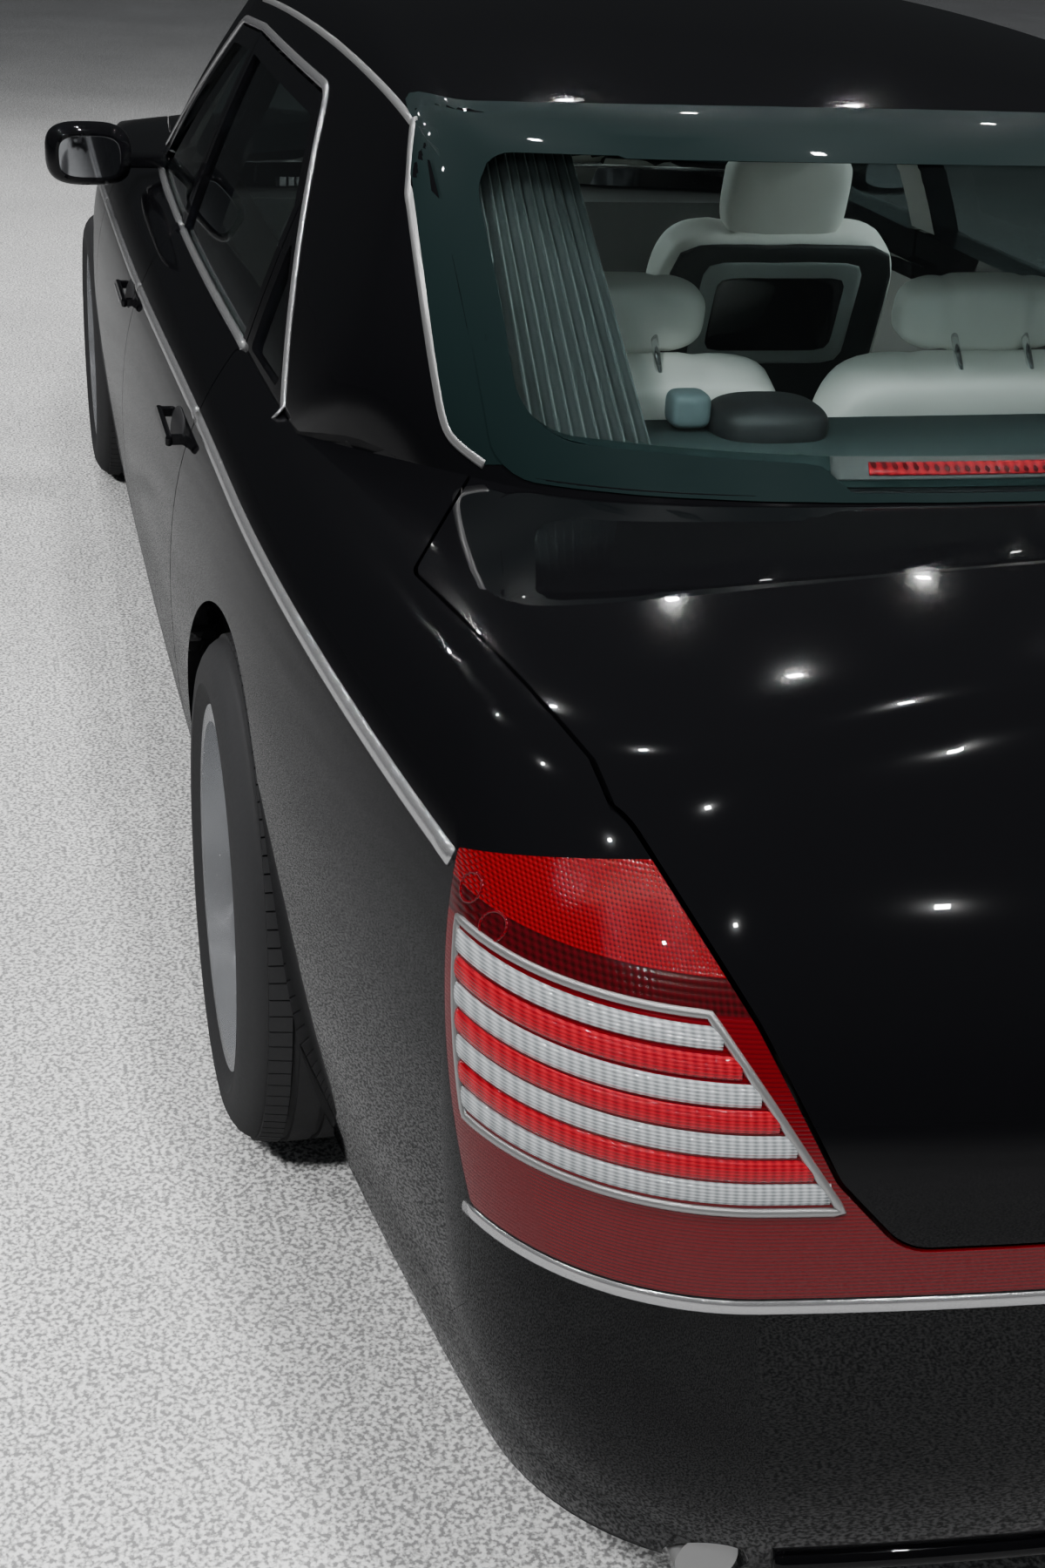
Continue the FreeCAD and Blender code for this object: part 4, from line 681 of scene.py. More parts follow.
def bumped(tree, height, strength, depth):
    """Join a height to the shader's normal."""
    lift = tree.add("ShaderNodeBump", {0: strength, 1: depth})
    tree.tree.links.new(height, lift.inputs["Height"])
    tree.join(lift.outputs[0], "Normal")


def grained(made, scale, roughness, spread, bump=0.0, depth=0.0005):
    """Material with the shared grain on its roughness, and on its normal where it has a bump."""
    tree = Tree(made.node_tree)
    node = placed_group(tree, wear_group, Scale=scale, Roughness=roughness, Spread=spread)
    tree.join(node.outputs["Roughness"], "Roughness")
    if bump:
        bumped(tree, node.outputs["Height"], bump, depth)
    return made


FULL_TURN = 6.283


def lines_group():
    """Fine ribs and grid of a moulded lens: a height, and a mask of the lines."""
    group, tree, start, end = new_group(
        "Lens lines", (("Level", "Float", 220.0), ("Upright", "Float", 220.0)),
        (("Height", "Float"), ("Mask", "Float")))
    place = tree.add("ShaderNodeTexCoord").outputs["Object"]
    axes = tree.add("ShaderNodeSeparateXYZ", {0: place}).outputs
    waves = []
    for axis, label in ((2, "Level"), (1, "Upright")):
        rate = tree.math("MULTIPLY", start.outputs[label], FULL_TURN)
        waves.append(tree.math("MULTIPLY", tree.math("SINE", tree.math("MULTIPLY", axes[axis], rate)), 0.5))
    height = tree.math("ADD", *waves)
    mask = tree.spread(height, -1.0, 1.0)
    tree.tree.links.new(height, end.inputs["Height"])
    tree.tree.links.new(mask, end.inputs["Mask"])
    return group


def lens(name, colour, dark, level, upright, bump, rough, **inputs):
    """Maker of a moulded lens with fine lines between two colours."""
    def make():
        made = material(name, colour, Coat_Weight=0.7, Coat_Roughness=0.02, Roughness=rough, **inputs)
        tree = Tree(made.node_tree)
        node = placed_group(tree, lines_group, Level=level, Upright=upright)
        tree.join(tree.mix(node.outputs["Mask"], (*dark, 1), (*colour, 1)), "Base Color")
        bumped(tree, node.outputs["Height"], bump, 0.0008)
        return made
    return make


made_materials = {}


def finish_of(name):
    """Named finish, made once."""
    if name not in made_materials:
        made_materials[name] = FINISHES[name]()
    return made_materials[name]


def paint():
    """Deep gloss paint under clear coat."""
    look = bpy.context.scene.sedan_body
    made = material("Gloss paint", look.paint_colour, Coat_Weight=0.8, Coat_Roughness=0.012,
                    Specular_IOR_Level=0.02)
    return grained(made, 240.0, look.paint_roughness, 0.03)


def plain(name, colour, scale=60.0, rough=0.4, spread=0.08, bump=0.0, **inputs):
    """Maker of a grained finish."""
    return lambda: grained(material(name, colour, **inputs), scale, rough, spread, bump)


def glass():
    """Lightly tinted window glass that lets the lights into the cabin."""
    made = material("Window glass", bpy.context.scene.sedan_body.glass_colour, Transmission_Weight=1.0,
                    Roughness=0.0, IOR=1.45)
    tree = Tree(made.node_tree)
    path = tree.add("ShaderNodeLightPath")
    tree.join(tree.spread(path.outputs["Is Shadow Ray"], 0.0, 1.0, 1.0, 0.15), "Alpha")
    return made


FINISHES = {
    "paint": paint,
    "glass": glass,
    "chrome": plain("Bright chrome", (0.86, 0.86, 0.87), 90, 0.16, 0.05, Metallic=0.92),
    "satin": plain("Satin trim", (0.58, 0.58, 0.58), 90, 0.34, 0.06, Metallic=0.9),
    "lining": plain("Cabin lining", (0.26, 0.25, 0.24), 300, 0.75, 0.10, 0.15),
    "dark": plain("Dark plastic", (0.018, 0.018, 0.019), 400, 0.50, 0.12, 0.2),
    "rubber": plain("Tyre rubber", (0.020, 0.020, 0.021), 160, 0.62, 0.15, 0.3),
    "seal": plain("Window seal", (0.012, 0.012, 0.012), 300, 0.45, 0.10),
    "leather": plain("White leather", (0.80, 0.78, 0.74), 420, 0.42, 0.12, 0.35),
    "rim": plain("Silver rim", (0.62, 0.63, 0.65), 150, 0.26, 0.06, Metallic=0.85),
    "metal": plain("Cast metal", (0.30, 0.30, 0.31), 120, 0.48, 0.15, 0.3, Metallic=0.9),
    "under": plain("Underbody coating", (0.035, 0.035, 0.036), 200, 0.70, 0.15, 0.4),
    "border": plain("Glass border", (0.004, 0.0085, 0.0085), 300, 0.40, 0.06, Coat_Weight=0.3,
                    Coat_Roughness=0.02, Specular_IOR_Level=0.04),
    "red": lens("Red lamp lens", (0.17, 0.0012, 0.005), (0.045, 0.0006, 0.001), 280, 280, 0.3, 0.12),
    "deep_red": lens("Deep red lamp lens", (0.10, 0.001, 0.004), (0.05, 0.0006, 0.002), 260, 0, 0.25, 0.14),
    "dark_red": lens("Dark lamp band", (0.05, 0.001, 0.003), (0.012, 0.001, 0.001), 170, 170, 0.2, 0.18),
    "red_bar": lens("Red lamp bar", (0.34, 0.004, 0.014), (0.13, 0.0015, 0.005), 320, 120, 0.6, 0.08),
    "clear_bar": lens("Clear lamp bar", (0.66, 0.69, 0.71), (0.22, 0.24, 0.25), 320, 120, 0.6, 0.08,
                      Metallic=0.5),
    "beads": lens("Brake lamp beads", (0.26, 0.006, 0.012), (0.016, 0.0006, 0.001), 80, 80, 0.9, 0.12),
    "clear": plain("Clear lamp lens", (0.55, 0.57, 0.60), 60, 0.06, 0.03, Metallic=0.4, Coat_Weight=1.0),
    "mirror": plain("Mirror glass", (0.75, 0.77, 0.80), 40, 0.03, 0.01, Metallic=1.0),
    "curtain": plain("Curtain cloth", (0.015, 0.021, 0.021), 500, 0.80, 0.12, 0.3, Sheen_Weight=0.2),
    "shelf": plain("Shelf cloth", (0.016, 0.025, 0.025), 500, 0.85, 0.10, 0.3),
    "dash": plain("Dark leather", (0.030, 0.029, 0.028), 420, 0.45, 0.12, 0.35),
    "screen": plain("Dark screen", (0.004, 0.004, 0.005), 60, 0.10, 0.03, Coat_Weight=1.0),
    "frame": plain("Grey frame", (0.22, 0.24, 0.24), 200, 0.40, 0.08),
    "belt": plain("Belt outlet", (0.12, 0.16, 0.17), 200, 0.45, 0.08),
}

PAINTED = ("boot_lid", "bonnet", "roof_panel", "front_bumper", "rear_bumper")
PAINTED_PAIRS = ("side_frame", "front_fender", "front_door", "rear_door")
PANES = ("windscreen", "rear_window", "quarter_windows")
PANE_PAIRS = ("front_door_glass", "rear_door_glass")


class SedanBody(bpy.types.PropertyGroup):
    """Paint and glass."""

    paint_colour: FloatVectorProperty(
        name="Paint colour", description="Colour of the painted panels", subtype="COLOR", size=3,
        default=(0.0022, 0.0022, 0.0026), min=0, max=1)
    paint_roughness: FloatProperty(
        name="Paint roughness", description="Gloss of the paint under its clear coat", default=0.10,
        min=0, max=1)
    glass_colour: FloatVectorProperty(
        name="Glass tint", description="Tint of the panes", subtype="COLOR", size=3,
        default=(0.52, 0.62, 0.61), min=0, max=1)
    waist_strip: FloatProperty(
        name="Waist strip", description="Height of the bright strip along the waist", unit="LENGTH",
        default=0.020, min=0.005)
    longest_edge: FloatProperty(
        name="Longest edge", description="Longest mesh edge left on the skin", unit="LENGTH",
        default=0.06, min=0.02)


class SEDAN_OT_panels(bpy.types.Operator):
    """Painted panels with shading that follows the body's form"""

    bl_idname = "sedan.panels"
    bl_label = "Painted panels"

    def execute(self, context):
        look = context.scene.sedan_body
        names = list(PAINTED) + [f"{side}_{part}" for side in SIDES for part in PAINTED_PAIRS]
        for node in names:
            inner = "dark" if node in ("boot_lid", "bonnet", "front_bumper", "rear_bumper") else "lining"
            skin_piece(node, node + "_painted", "paint " + inner, look.longest_edge)
        return {"FINISHED"}


class SEDAN_OT_panes(bpy.types.Operator):
    """Window panes"""

    bl_idname = "sedan.panes"
    bl_label = "Window panes"

    def execute(self, context):
        for node in list(PANES) + [f"{side}_{part}" for side in SIDES for part in PANE_PAIRS]:
            skin_piece(node, node + "_pane", "glass", 0.09)
        return {"FINISHED"}


# Lines of the body that its trim follows, in side view unless said otherwise
GAP = 0.005
DOOR_FRONT = FRONT - 0.590
SPLIT = REAR + 1.640
DOOR_REAR = REAR + 0.600
WINDOW_TOP = 1.410
LAMP_TOP, LAMP_BOTTOM = (REAR - 0.938, 0.905), (REAR - 1.095, 0.594)
SPANS = (  # panel, rear and front end of its stretch
    ("side_frame", LAMP_TOP[0] + 0.004, DOOR_REAR - GAP / 2),
    ("rear_door", DOOR_REAR + GAP / 2, SPLIT - GAP / 2),
    ("front_door", SPLIT + GAP / 2, DOOR_FRONT - GAP / 2),
    ("front_fender", DOOR_FRONT + GAP / 2, FRONT + 0.470),
)
WAIST = (
    (REAR - 0.938, 0.892), (REAR - 0.400, 0.908), (REAR + 0.070, 0.917), (REAR + 0.560, 0.922),
    (REAR + 1.570, 0.908), (FRONT - 0.590, 0.885), (FRONT + 0.480, 0.842),
)
WINDOWS = (  # across, up, radius
    (FRONT - 0.885, BELT + 0.010, 0), (FRONT - 1.440, WINDOW_TOP - 0.008, 0.060),
    (SPLIT, WINDOW_TOP + 0.004, 0.300), (REAR + 0.790, WINDOW_TOP - 0.008, 0.130),
    (REAR + 0.222, BELT - 0.010, 0),
)
TAIL_PLAN = (
    (REAR - 1.085, 0.850), (REAR - 1.160, 0.810), (REAR - 1.240, 0.730), (REAR - 1.290, 0.620),
    (REAR - 1.320, 0.480), (REAR - 1.336, 0.250), (REAR - 1.338, 0.000),
)
SCREEN_FOOT, SCREEN_TOP = (0.640, BELT + 0.052, BELT + 0.098), (0.668, ROOF - 0.113, ROOF - 0.092)
BORDER_FOOT, BORDER_TOP = (0.606, BELT + 0.100, BELT + 0.122), (0.616, ROOF - 0.152, ROOF - 0.132)
SCREEN_SIDE = (  # order, then the bright strip beside the rear screen, from the roof down to the boot lid
    (0, REAR + 0.240, 0.665, 1.440), (1, REAR + 0.120, 0.688, 1.378), (2, REAR - 0.020, 0.697, 1.260),
    (3, REAR - 0.116, 0.691, 1.135), (4, REAR - 0.158, 0.678, 1.091), (5, REAR - 0.213, 0.649, 1.074),
)
OUTSIDE = 0.95  # first guess of the half width, from which a point settles on the side
SEAM_ENDS, SEAM_ACROSS = (REAR + 0.240, FRONT - 1.560), 0.664  # bright seam along the roof
LIP_HEIGHT, LIP_HALF = 0.222, 0.56  # the bumper's lip, which ends between the tail pipes
TAIL_COLUMNS = 110  # of the strips that run round the tail
CABIN_NODES = ("left_side_frame", "roof_panel", "rear_window", "left_rear_door", "left_front_door")
LAMP_HALF = 0.262  # half length of the high brake lamp's housing
LAMP_RISE = 0.018  # height of that lamp over the screen's foot
PANE_BACK = 0.0205  # depth of the rear screen's inner face
PRINT_PROUD = 0.0010
RING_ROWS, SIDE_ROWS = 4, 6  # rows of faces across the screen's border and beside it
OVERLAP = 0.018  # how far the print beside the screen reaches over its border
CORNER_LEFT = (0.012, 0.019)  # what that print leaves of the screen's lower and upper corner


def both_sides(make, name, body, finishes, replaces=()):
    """The piece that make() gives, for the left, and its mirror image for the right."""
    pieces = []
    for side in SIDES:
        bm = make()
        if side == "right":
            bm, old = mirrored(bm), bm
            old.free()
        stands_for = [f"{side}_{node}" for node in replaces]
        node = f"{side}_{body}"
        pieces.append(finished(bm, f"{side}_{name}", BODY_OF.get(node, body), finishes, stands_for))
    return pieces


def beside_screen(shares):
    """Bright strip beside the rear screen, at shares of its way from the roof down."""
    return curve_through(SCREEN_SIDE)(SCREEN_SIDE[-1][0] * shares)


class SEDAN_OT_trim(bpy.types.Operator):
    """Bright strips along the waist, the windows, the rear screen and the bumper"""

    bl_idname = "sedan.trim"
    bl_label = "Bright trim"

    def execute(self, context):
        look = context.scene.sedan_body
        waist = curve_through(WAIST)
        for panel, start, stop in SPANS:
            places = np.linspace(start, stop, 12)
            line = points_at(places, OUTSIDE, waist(places)[:, 0])
            both_sides(lambda: form_strip(line, LOWER, half_round(look.waist_strip, 0.005), 40, 1),
                       f"{panel}_waist_strip", panel, "chrome")
            if "door" in panel:
                top = points_at(places, 0.88, BELT + 0.010)
                both_sides(lambda: form_strip(top, CABIN, half_round(0.020, 0.007, 0.004), 24, 1),
                           f"{panel}_belt_strip", panel, "chrome")
        side = beside(rounded(WINDOWS), -0.010)
        side = points_at(side[:, 0], 0.80, side[:, 1])
        edge = beside_screen(np.linspace(0, 1, 60))
        seam = points_at(np.linspace(*SEAM_ENDS, 16), SEAM_ACROSS, 1.5)
        for name, line, width, height, columns, axis, finish in (
                ("window_strip", side, 0.017, 0.004, 120, 1, "chrome"),
                ("screen_strip", edge, 0.013, 0.003, 70, None, "satin"),
                ("roof_strip", seam, 0.012, 0.002, 60, 2, "satin")):
            section = half_round(width, height)
            both_sides(lambda: form_strip(line, CABIN, section, columns, axis, nodes=CABIN_NODES),
                       name, "root", finish)
        plan = TAIL_PLAN + tuple((x, -y) for x, y in reversed(TAIL_PLAN[:-1]))
        chrome = level_line(plan, LAMP_BOTTOM[1] - 0.010, LOWER, TAIL_COLUMNS)
        lip = level_line(plan, LIP_HEIGHT, LOWER, TAIL_COLUMNS)
        lip = lip[abs(lip[:, 1]) < LIP_HALF]
        for name, line, width, height, finish in (("bumper_strip", chrome, 0.015, 0.003, "chrome"),
                                                  ("bumper_lip", lip, 0.024, 0.012, "paint")):
            bm = form_strip(line, LOWER, half_round(width, height), TAIL_COLUMNS)
            finished(bm, name, BODY_OF["rear_bumper"], finish)
        return {"FINISHED"}


def screen_loop(foot, top, radius):
    """Closed outline of the rear screen in rear view: half width, height at the edge and in the middle."""
    corners = []
    for (half, edge, middle), way in ((foot, 1), (top, -1)):
        for share in np.linspace(-1, 1, 13):
            height = middle + (edge - middle) * share ** 2
            corners.append((way * share * half, height, radius if abs(share) == 1 else 0))
    return rounded(corners, closed=True)


def screen_foot(y):
    """Height of the rear screen's lower edge."""
    return SCREEN_FOOT[2] + (SCREEN_FOOT[1] - SCREEN_FOOT[2]) * (y / SCREEN_FOOT[0]) ** 2


class SEDAN_OT_screen(bpy.types.Operator):
    """Dark border and high brake lamp of the rear screen"""

    bl_idname = "sedan.screen"
    bl_label = "Rear screen"

    def execute(self, context):
        inner = screen_loop(BORDER_FOOT, BORDER_TOP, 0.055)
        self.ring("screen_border", screen_loop(SCREEN_FOOT, SCREEN_TOP, 0.040), inner, -PANE_BACK, False)
        (half, edge, middle), (top_half, top_edge, top_middle) = SCREEN_FOOT, SCREEN_TOP
        outer = screen_loop((half - 0.002, edge - 0.005, middle - 0.006),
                            (top_half - 0.003, top_edge + 0.007, top_middle + 0.009), 0.035)
        self.ring("screen_print", outer, inner, PRINT_PROUD + 0.0002, True)
        for piece in both_sides(self.side_print, "screen_side_print", "root", "border"):
            follow_form(piece)
        for name, reach, width, height, columns, proud, finish in (
                ("brake_lamp_housing", LAMP_HALF + 0.010, 0.036, 0.0008, 48, 0.0015, "seal"),
                ("high_brake_lamp", LAMP_HALF - 0.034, 0.020, 0.002, 60, 0.003, "beads")):
            y = np.linspace(-reach, reach, 25)
            line = points_at(REAR - 0.3, y, screen_foot(y) + LAMP_RISE)
            section = half_round(width, height, 0.001)
            bm = form_strip(line, CABIN, section, columns, 0, proud=proud - PANE_BACK)
            finished(bm, name, "root", finish)
        return {"FINISHED"}

    def ring(self, name, outer, inner, proud, notched):
        """Band between two outlines on the screen's face, let down where the brake lamp shows."""
        def place(u, v):
            within = evenly(inner, u)
            if notched:
                beside_lamp = np.clip((abs(within[:, 0]) - LAMP_HALF) / 0.022, 0, 1)
                low = (within[:, 1] < BELT + 0.2) & (beside_lamp < 1)
                limit = screen_foot(within[:, 0]) + 0.004 + 0.020 * beside_lamp
                within[:, 1] = np.where(low, np.minimum(within[:, 1], limit), within[:, 1])
            across, up = (evenly(outer, u) * (1 - v[:, None]) + within * v[:, None]).T
            line = settle(points_at(REAR, across, up), CABIN, min(proud, 0), 0)
            return lie_on(line, CABIN, CABIN_NODES, proud, RING_ROWS + 1) if notched else line

        follow_form(finished(thickened(surface(320, RING_ROWS, place)), name, "root", "border"))

    def side_print(self):
        """Border between the screen's left edge and the bright strip beside it."""
        (foot_half, foot, _), (top_half, top, _) = SCREEN_FOOT, SCREEN_TOP

        def place(u, v):
            line = settle(beside_screen(u), CABIN)
            edge = foot_half + (top_half - foot_half) * (line[:, 2] - foot) / (top - foot) - OVERLAP
            height = np.clip(line[:, 2], foot + CORNER_LEFT[0], top - CORNER_LEFT[1])
            edge = settle(points_at(REAR, np.minimum(edge, line[:, 1]), height), CABIN, 0, 0)
            line = settle(line * (1 - v[:, None]) + edge * v[:, None], CABIN)
            return lie_on(line, CABIN, CABIN_NODES, PRINT_PROUD, SIDE_ROWS + 1)

        return thickened(surface(60, SIDE_ROWS, place))


# Striped block of a tail lamp: heights, ends at its top and bottom, and the number of bars
BLOCK_TOP, BLOCK_BOTTOM, BARS = 0.848, 0.690, 7
FRAME, BAND = 0.006, 0.034  # cuts of the lens past the block: its frame, and the dark band above it
BLOCK_FRONT = ((REAR - 0.990, 0.848), (REAR - 1.070, 0.690))
BLOCK_CORNER = (REAR - 1.185, 0.765)
BLOCK_INNER = ((REAR - 1.203, 0.652), (REAR - 1.282, 0.545))
LAMP_RINGS = ((REAR - 0.985, 0.885), (REAR - 1.035, 0.868))


def block_line(share, columns):
    """Level line across the lamp's striped block, at a share of the way down."""
    height = BLOCK_TOP + (BLOCK_BOTTOM - BLOCK_TOP) * share
    front = BLOCK_FRONT[0][0] + (BLOCK_FRONT[1][0] - BLOCK_FRONT[0][0]) * share
    inner = np.array(BLOCK_INNER[0]) + (np.array(BLOCK_INNER[1]) - BLOCK_INNER[0]) * share
    outer_y = settle([[front, 0.9, height]], LOWER, 0, 1)[0, 1]
    return level_line([(front, outer_y), BLOCK_CORNER, tuple(inner)], height, LOWER, columns)


class SEDAN_OT_lamps(bpy.types.Operator):
    """Tail lamps with their striped blocks"""

    bl_idname = "sedan.lamps"
    bl_label = "Lamps"

    def execute(self, context):
        bm = refined("tail_lamps", 0.04)
        for height in (BLOCK_BOTTOM - FRAME, BLOCK_TOP + FRAME, BLOCK_TOP + BAND):
            bmesh.ops.bisect_plane(bm, geom=bm.verts[:] + bm.edges[:] + bm.faces[:], plane_co=(0, 0, height),
                                   plane_no=(0, 0, 1))
        bmesh.ops.triangulate(bm, faces=[face for face in bm.faces if len(face.verts) > 4])
        looks = "red dark dark_red deep_red satin"
        piece = finished(bm, "tail_lamp_lens", BODY_OF["tail_lamps"], looks, ("tail_lamps",))
        follow_form(piece)
        heights = from_faces(piece.data, "center", np.float32, 3)[:, 2]
        zone = from_faces(piece.data, "material_index", np.int32)
        outer = zone == 0
        zone[outer & (heights < BLOCK_TOP + BAND)] = 2
        zone[outer & (heights < BLOCK_TOP + FRAME)] = 3
        piece.data.polygons.foreach_set("material_index", zone)
        tall = (BLOCK_TOP - BLOCK_BOTTOM) / BARS
        for i in range(BARS):
            line = block_line((i + 0.5) / BARS, 40)
            both_sides(lambda: form_strip(line, LOWER, half_round(tall * 0.94, 0.003, 0.001), 40),
                       f"lamp_bar_{i}", "root", "red_bar" if i % 2 else "clear_bar")
        rows = [block_line(share, 20) for share in (-0.04, 1.04)]
        loop = np.vstack([rows[0], rows[1][::-1], rows[0][:1]])
        both_sides(lambda: form_strip(loop, LOWER, half_round(0.009, 0.004, 0.001), 120, closed=True),
                   "lamp_frame", "root", "satin")
        for i, (x, z) in enumerate(LAMP_RINGS):
            turn = np.linspace(0, 2 * math.pi, 25)
            ring = points_at(x + 0.016 * np.cos(turn), 0.85, z + 0.014 * np.sin(turn))
            both_sides(lambda: form_strip(ring, LOWER, half_round(0.003, 0.0012, 0.001, 4), 32, 1, True),
                       f"lamp_ring_{i}", "root", "deep_red")
        return {"FINISHED"}


# Tyre and rim: radius and place along the axle, from the inside of the bead over the tread
TREAD_BASE = 0.3715
TREAD_FOOT = 0.355  # faces past this radius are tread
CROWN_HALF, SHOULDER_FALL = 0.066, 0.16  # from where the tread falls outwards, and how steeply
SIDEWALL = (
    (0.2545, 0.1158), (0.2700, 0.1160), (0.2780, 0.1190), (0.2900, 0.1300), (0.2990, 0.1343),
    (0.3005, 0.1356), (0.3030, 0.1356), (0.3045, 0.1350), (0.3150, 0.1360), (0.3300, 0.1335),
    (0.3440, 0.1275), (0.3570, 0.1185), (0.3650, 0.1080),
)
RIBS = (0.1010, 0.0680, 0.0600, 0.0250, 0.0170)  # shoulder, then pairs of groove edges
TREAD_DEPTH = 0.0055
BOLTS, BOLT_CIRCLE = 5, 0.056
BOLT_SEAT, BOLT_HEAD = 0.084, 0.0935  # along the axle from the rim's middle


def tyre():
    """Tyre with a ribbed tread and blocks on its shoulders."""
    half = list(SIDEWALL) + [(TREAD_BASE - max(0, y - CROWN_HALF) * SHOULDER_FALL, y) for y in RIBS]
    bm = spun(half + [(r, -y) for r, y in reversed(half)], 96)
    tread = [face for face in bm.faces if face.calc_center_median().xz.length > TREAD_FOOT]

    def between(low, high):
        return [face for face in tread if low < abs(face.calc_center_median().y) < high]

    shoulders = between(RIBS[1], RIBS[0])
    for low, high in ((RIBS[3], RIBS[2]), (-1, RIBS[4])):
        bmesh.ops.inset_region(bm, faces=between(low, high), thickness=0.001, depth=TREAD_DEPTH,
                               use_even_offset=True)
    bmesh.ops.inset_individual(bm, faces=shoulders, thickness=0.0016, depth=TREAD_DEPTH)
    return shade(bm, 0.7)


def bolts():
    """Wheel bolts in their seats and a blank cap, on the left side of a rim."""
    cap = spun([(0.0002, 0.0965), (0.024, 0.0955), (0.029, 0.0925), (0.031, 0.088), (0.0002, 0.088)], 40)
    parts = [cap]
    for i in range(BOLTS):
        turn = 2 * math.pi * (i + 0.25) / BOLTS
        x, z = BOLT_CIRCLE * math.cos(turn), BOLT_CIRCLE * math.sin(turn)
        parts.append(rod((x, BOLT_SEAT, z), (x, BOLT_HEAD, z), 0.0105, 6))
    return shade(merged(parts))


class SEDAN_OT_wheels(bpy.types.Operator):
    """Tyres with tread, and the rims' bolts and blank caps"""

    bl_idname = "sedan.wheels"
    bl_label = "Wheels"

    def execute(self, context):
        for end, (x, y) in WHEELS.items():
            both_sides(lambda: placed(tyre(), x, y, HUB_HEIGHT), f"{end}_tyre_tread", f"{end}_tyre",
                       "rubber", [f"{end}_tyre"])
            both_sides(lambda: placed(bolts(), x, y, HUB_HEIGHT), f"{end}_rim_bolts", f"{end}_rim",
                       "chrome")
        return {"FINISHED"}


HANDLE_HEIGHT, HANDLE_FACE = 0.872, 0.0262  # height over the ground, outer face off the skin
HANDLES = {"rear_door": DOOR_REAR + 0.128, "front_door": SPLIT + 0.128}  # middle of each bar
# Size of the dark plate that paints the shade of a handle's recess, and length of the bright inlay
RECESS_SHADE_PLATE, INLAY_LENGTH = (0.140, 0.007, 0.054), 0.176
MIRROR = (FRONT - 0.995, 1.004, BELT + 0.045)  # middle of the left mirror's head
MIRROR_HEAD, MIRROR_FOOT = (0.160, 0.198, 0.138), (0.080, 0.130, 0.030)
MIRROR_REAR = 0.066  # from the middle of the head to its flat rear


def handle_recess_shade(x):
    """Dark oval plate let into the skin behind a door handle: painted shade that stands for the handle's
    recess.
    """
    spot = settle([[x, OUTSIDE, HANDLE_HEIGHT]], LOWER, 0, 1)
    way = Vector(form_of(LOWER, spot)[0][0])
    bm = soft_box(RECESS_SHADE_PLATE, 2.3, 10)
    turn = way.to_track_quat("Y", "Z").to_matrix().to_4x4()
    bmesh.ops.transform(bm, matrix=Matrix.Translation(spot[0]) @ turn, verts=bm.verts)
    return bm


def handle_inlay(x):
    """Bright inlay along the middle of a door handle's bar."""
    places = x + INLAY_LENGTH * (np.linspace(0, 1, 25) - 0.5)
    path = settle(points_at(places, OUTSIDE, HANDLE_HEIGHT), LOWER, 0, 1)
    path[:, 1] += HANDLE_FACE
    way = unit(np.gradient(path, axis=0))
    across = np.tile([0.0, 0.0, 1.0], (25, 1))
    return strip(path, across, np.cross(across, way), half_round(0.006, 0.0012, 0.001, 4), 24)


def mirror_head():
    """Mirror housing with its glass let into its rear face, on a foot."""
    x, y, z = MIRROR
    head = soft_box(MIRROR_HEAD, 3.2)
    cut = bmesh.ops.bisect_plane(head, geom=head.verts[:] + head.edges[:] + head.faces[:],
                                 plane_co=(-MIRROR_REAR, 0, 0), plane_no=(-1, 0, 0), clear_outer=True)
    edges = [item for item in cut["geom_cut"] if isinstance(item, bmesh.types.BMEdge)]
    glass = bmesh.ops.contextual_create(head, geom=edges)["faces"]
    bmesh.ops.recalc_face_normals(head, faces=head.faces)
    bmesh.ops.inset_region(head, faces=glass, thickness=0.006, use_even_offset=True)
    bmesh.ops.inset_region(head, faces=glass, thickness=0.002, depth=-0.006, use_even_offset=True)
    for face in glass:
        face.material_index = 1
    placed(head, x, y, z)
    foot = placed(soft_box(MIRROR_FOOT, 6, 6), x + 0.004, y - 0.120, BELT + 0.031)
    return shade(merged([head, foot]), 0.6)


class SEDAN_OT_fittings(bpy.types.Operator):
    """Door handles and mirrors"""

    bl_idname = "sedan.fittings"
    bl_label = "Handles and mirrors"

    def execute(self, context):
        for door, x in HANDLES.items():
            # The dark plate behind each handle is painted shade for the handle's recess
            both_sides(lambda: handle_recess_shade(x), f"{door}_handle_plate", door, "dark")
            both_sides(lambda: handle_inlay(x), f"{door}_handle_inlay", door, "chrome")
        both_sides(mirror_head, "mirror_head", "mirror", "paint mirror", ["mirror"])
        return {"FINISHED"}


# Seats as the CAD part places them. Each pad's values are those that flat_pad and back_pad take: its ends or
# its rear foot along the car, width, heights, thickness, lean in degrees, sewn lines and roundness.
FRONT_SIDE, BENCH_SIDE = 0.385, 0.315  # middles of the left seats
FRONT_TAIL, FRONT_NOSE = REAR + 1.640, REAR + 2.240
BENCH_TAIL, BENCH_NOSE, BENCH_TOP = REAR + 0.460, REAR + 1.150, 1.040
BENCH_FOOT = BENCH_TAIL + 0.020
FRONT_CUSHION = {"tail": FRONT_TAIL - 0.060, "nose": FRONT_NOSE, "width": 0.540, "low": 0.350, "high": 0.520,
                 "sewn": (-0.13, 0.13)}
FRONT_BACK = {"foot": FRONT_TAIL, "width": 0.540, "low": 0.460, "high": 1.050, "thickness": 0.130,
              "lean": 20, "sewn": (-0.13, 0.13)}
FRONT_HEAD = {"foot": FRONT_TAIL - 0.185, "width": 0.270, "low": 1.030, "high": 1.240, "thickness": 0.100,
              "lean": 12, "power": 4.0}
BENCH_CUSHION = {"tail": BENCH_TAIL, "nose": BENCH_NOSE, "width": 0.600, "low": 0.350, "high": 0.510,
                 "sewn": (-0.14, 0.14)}
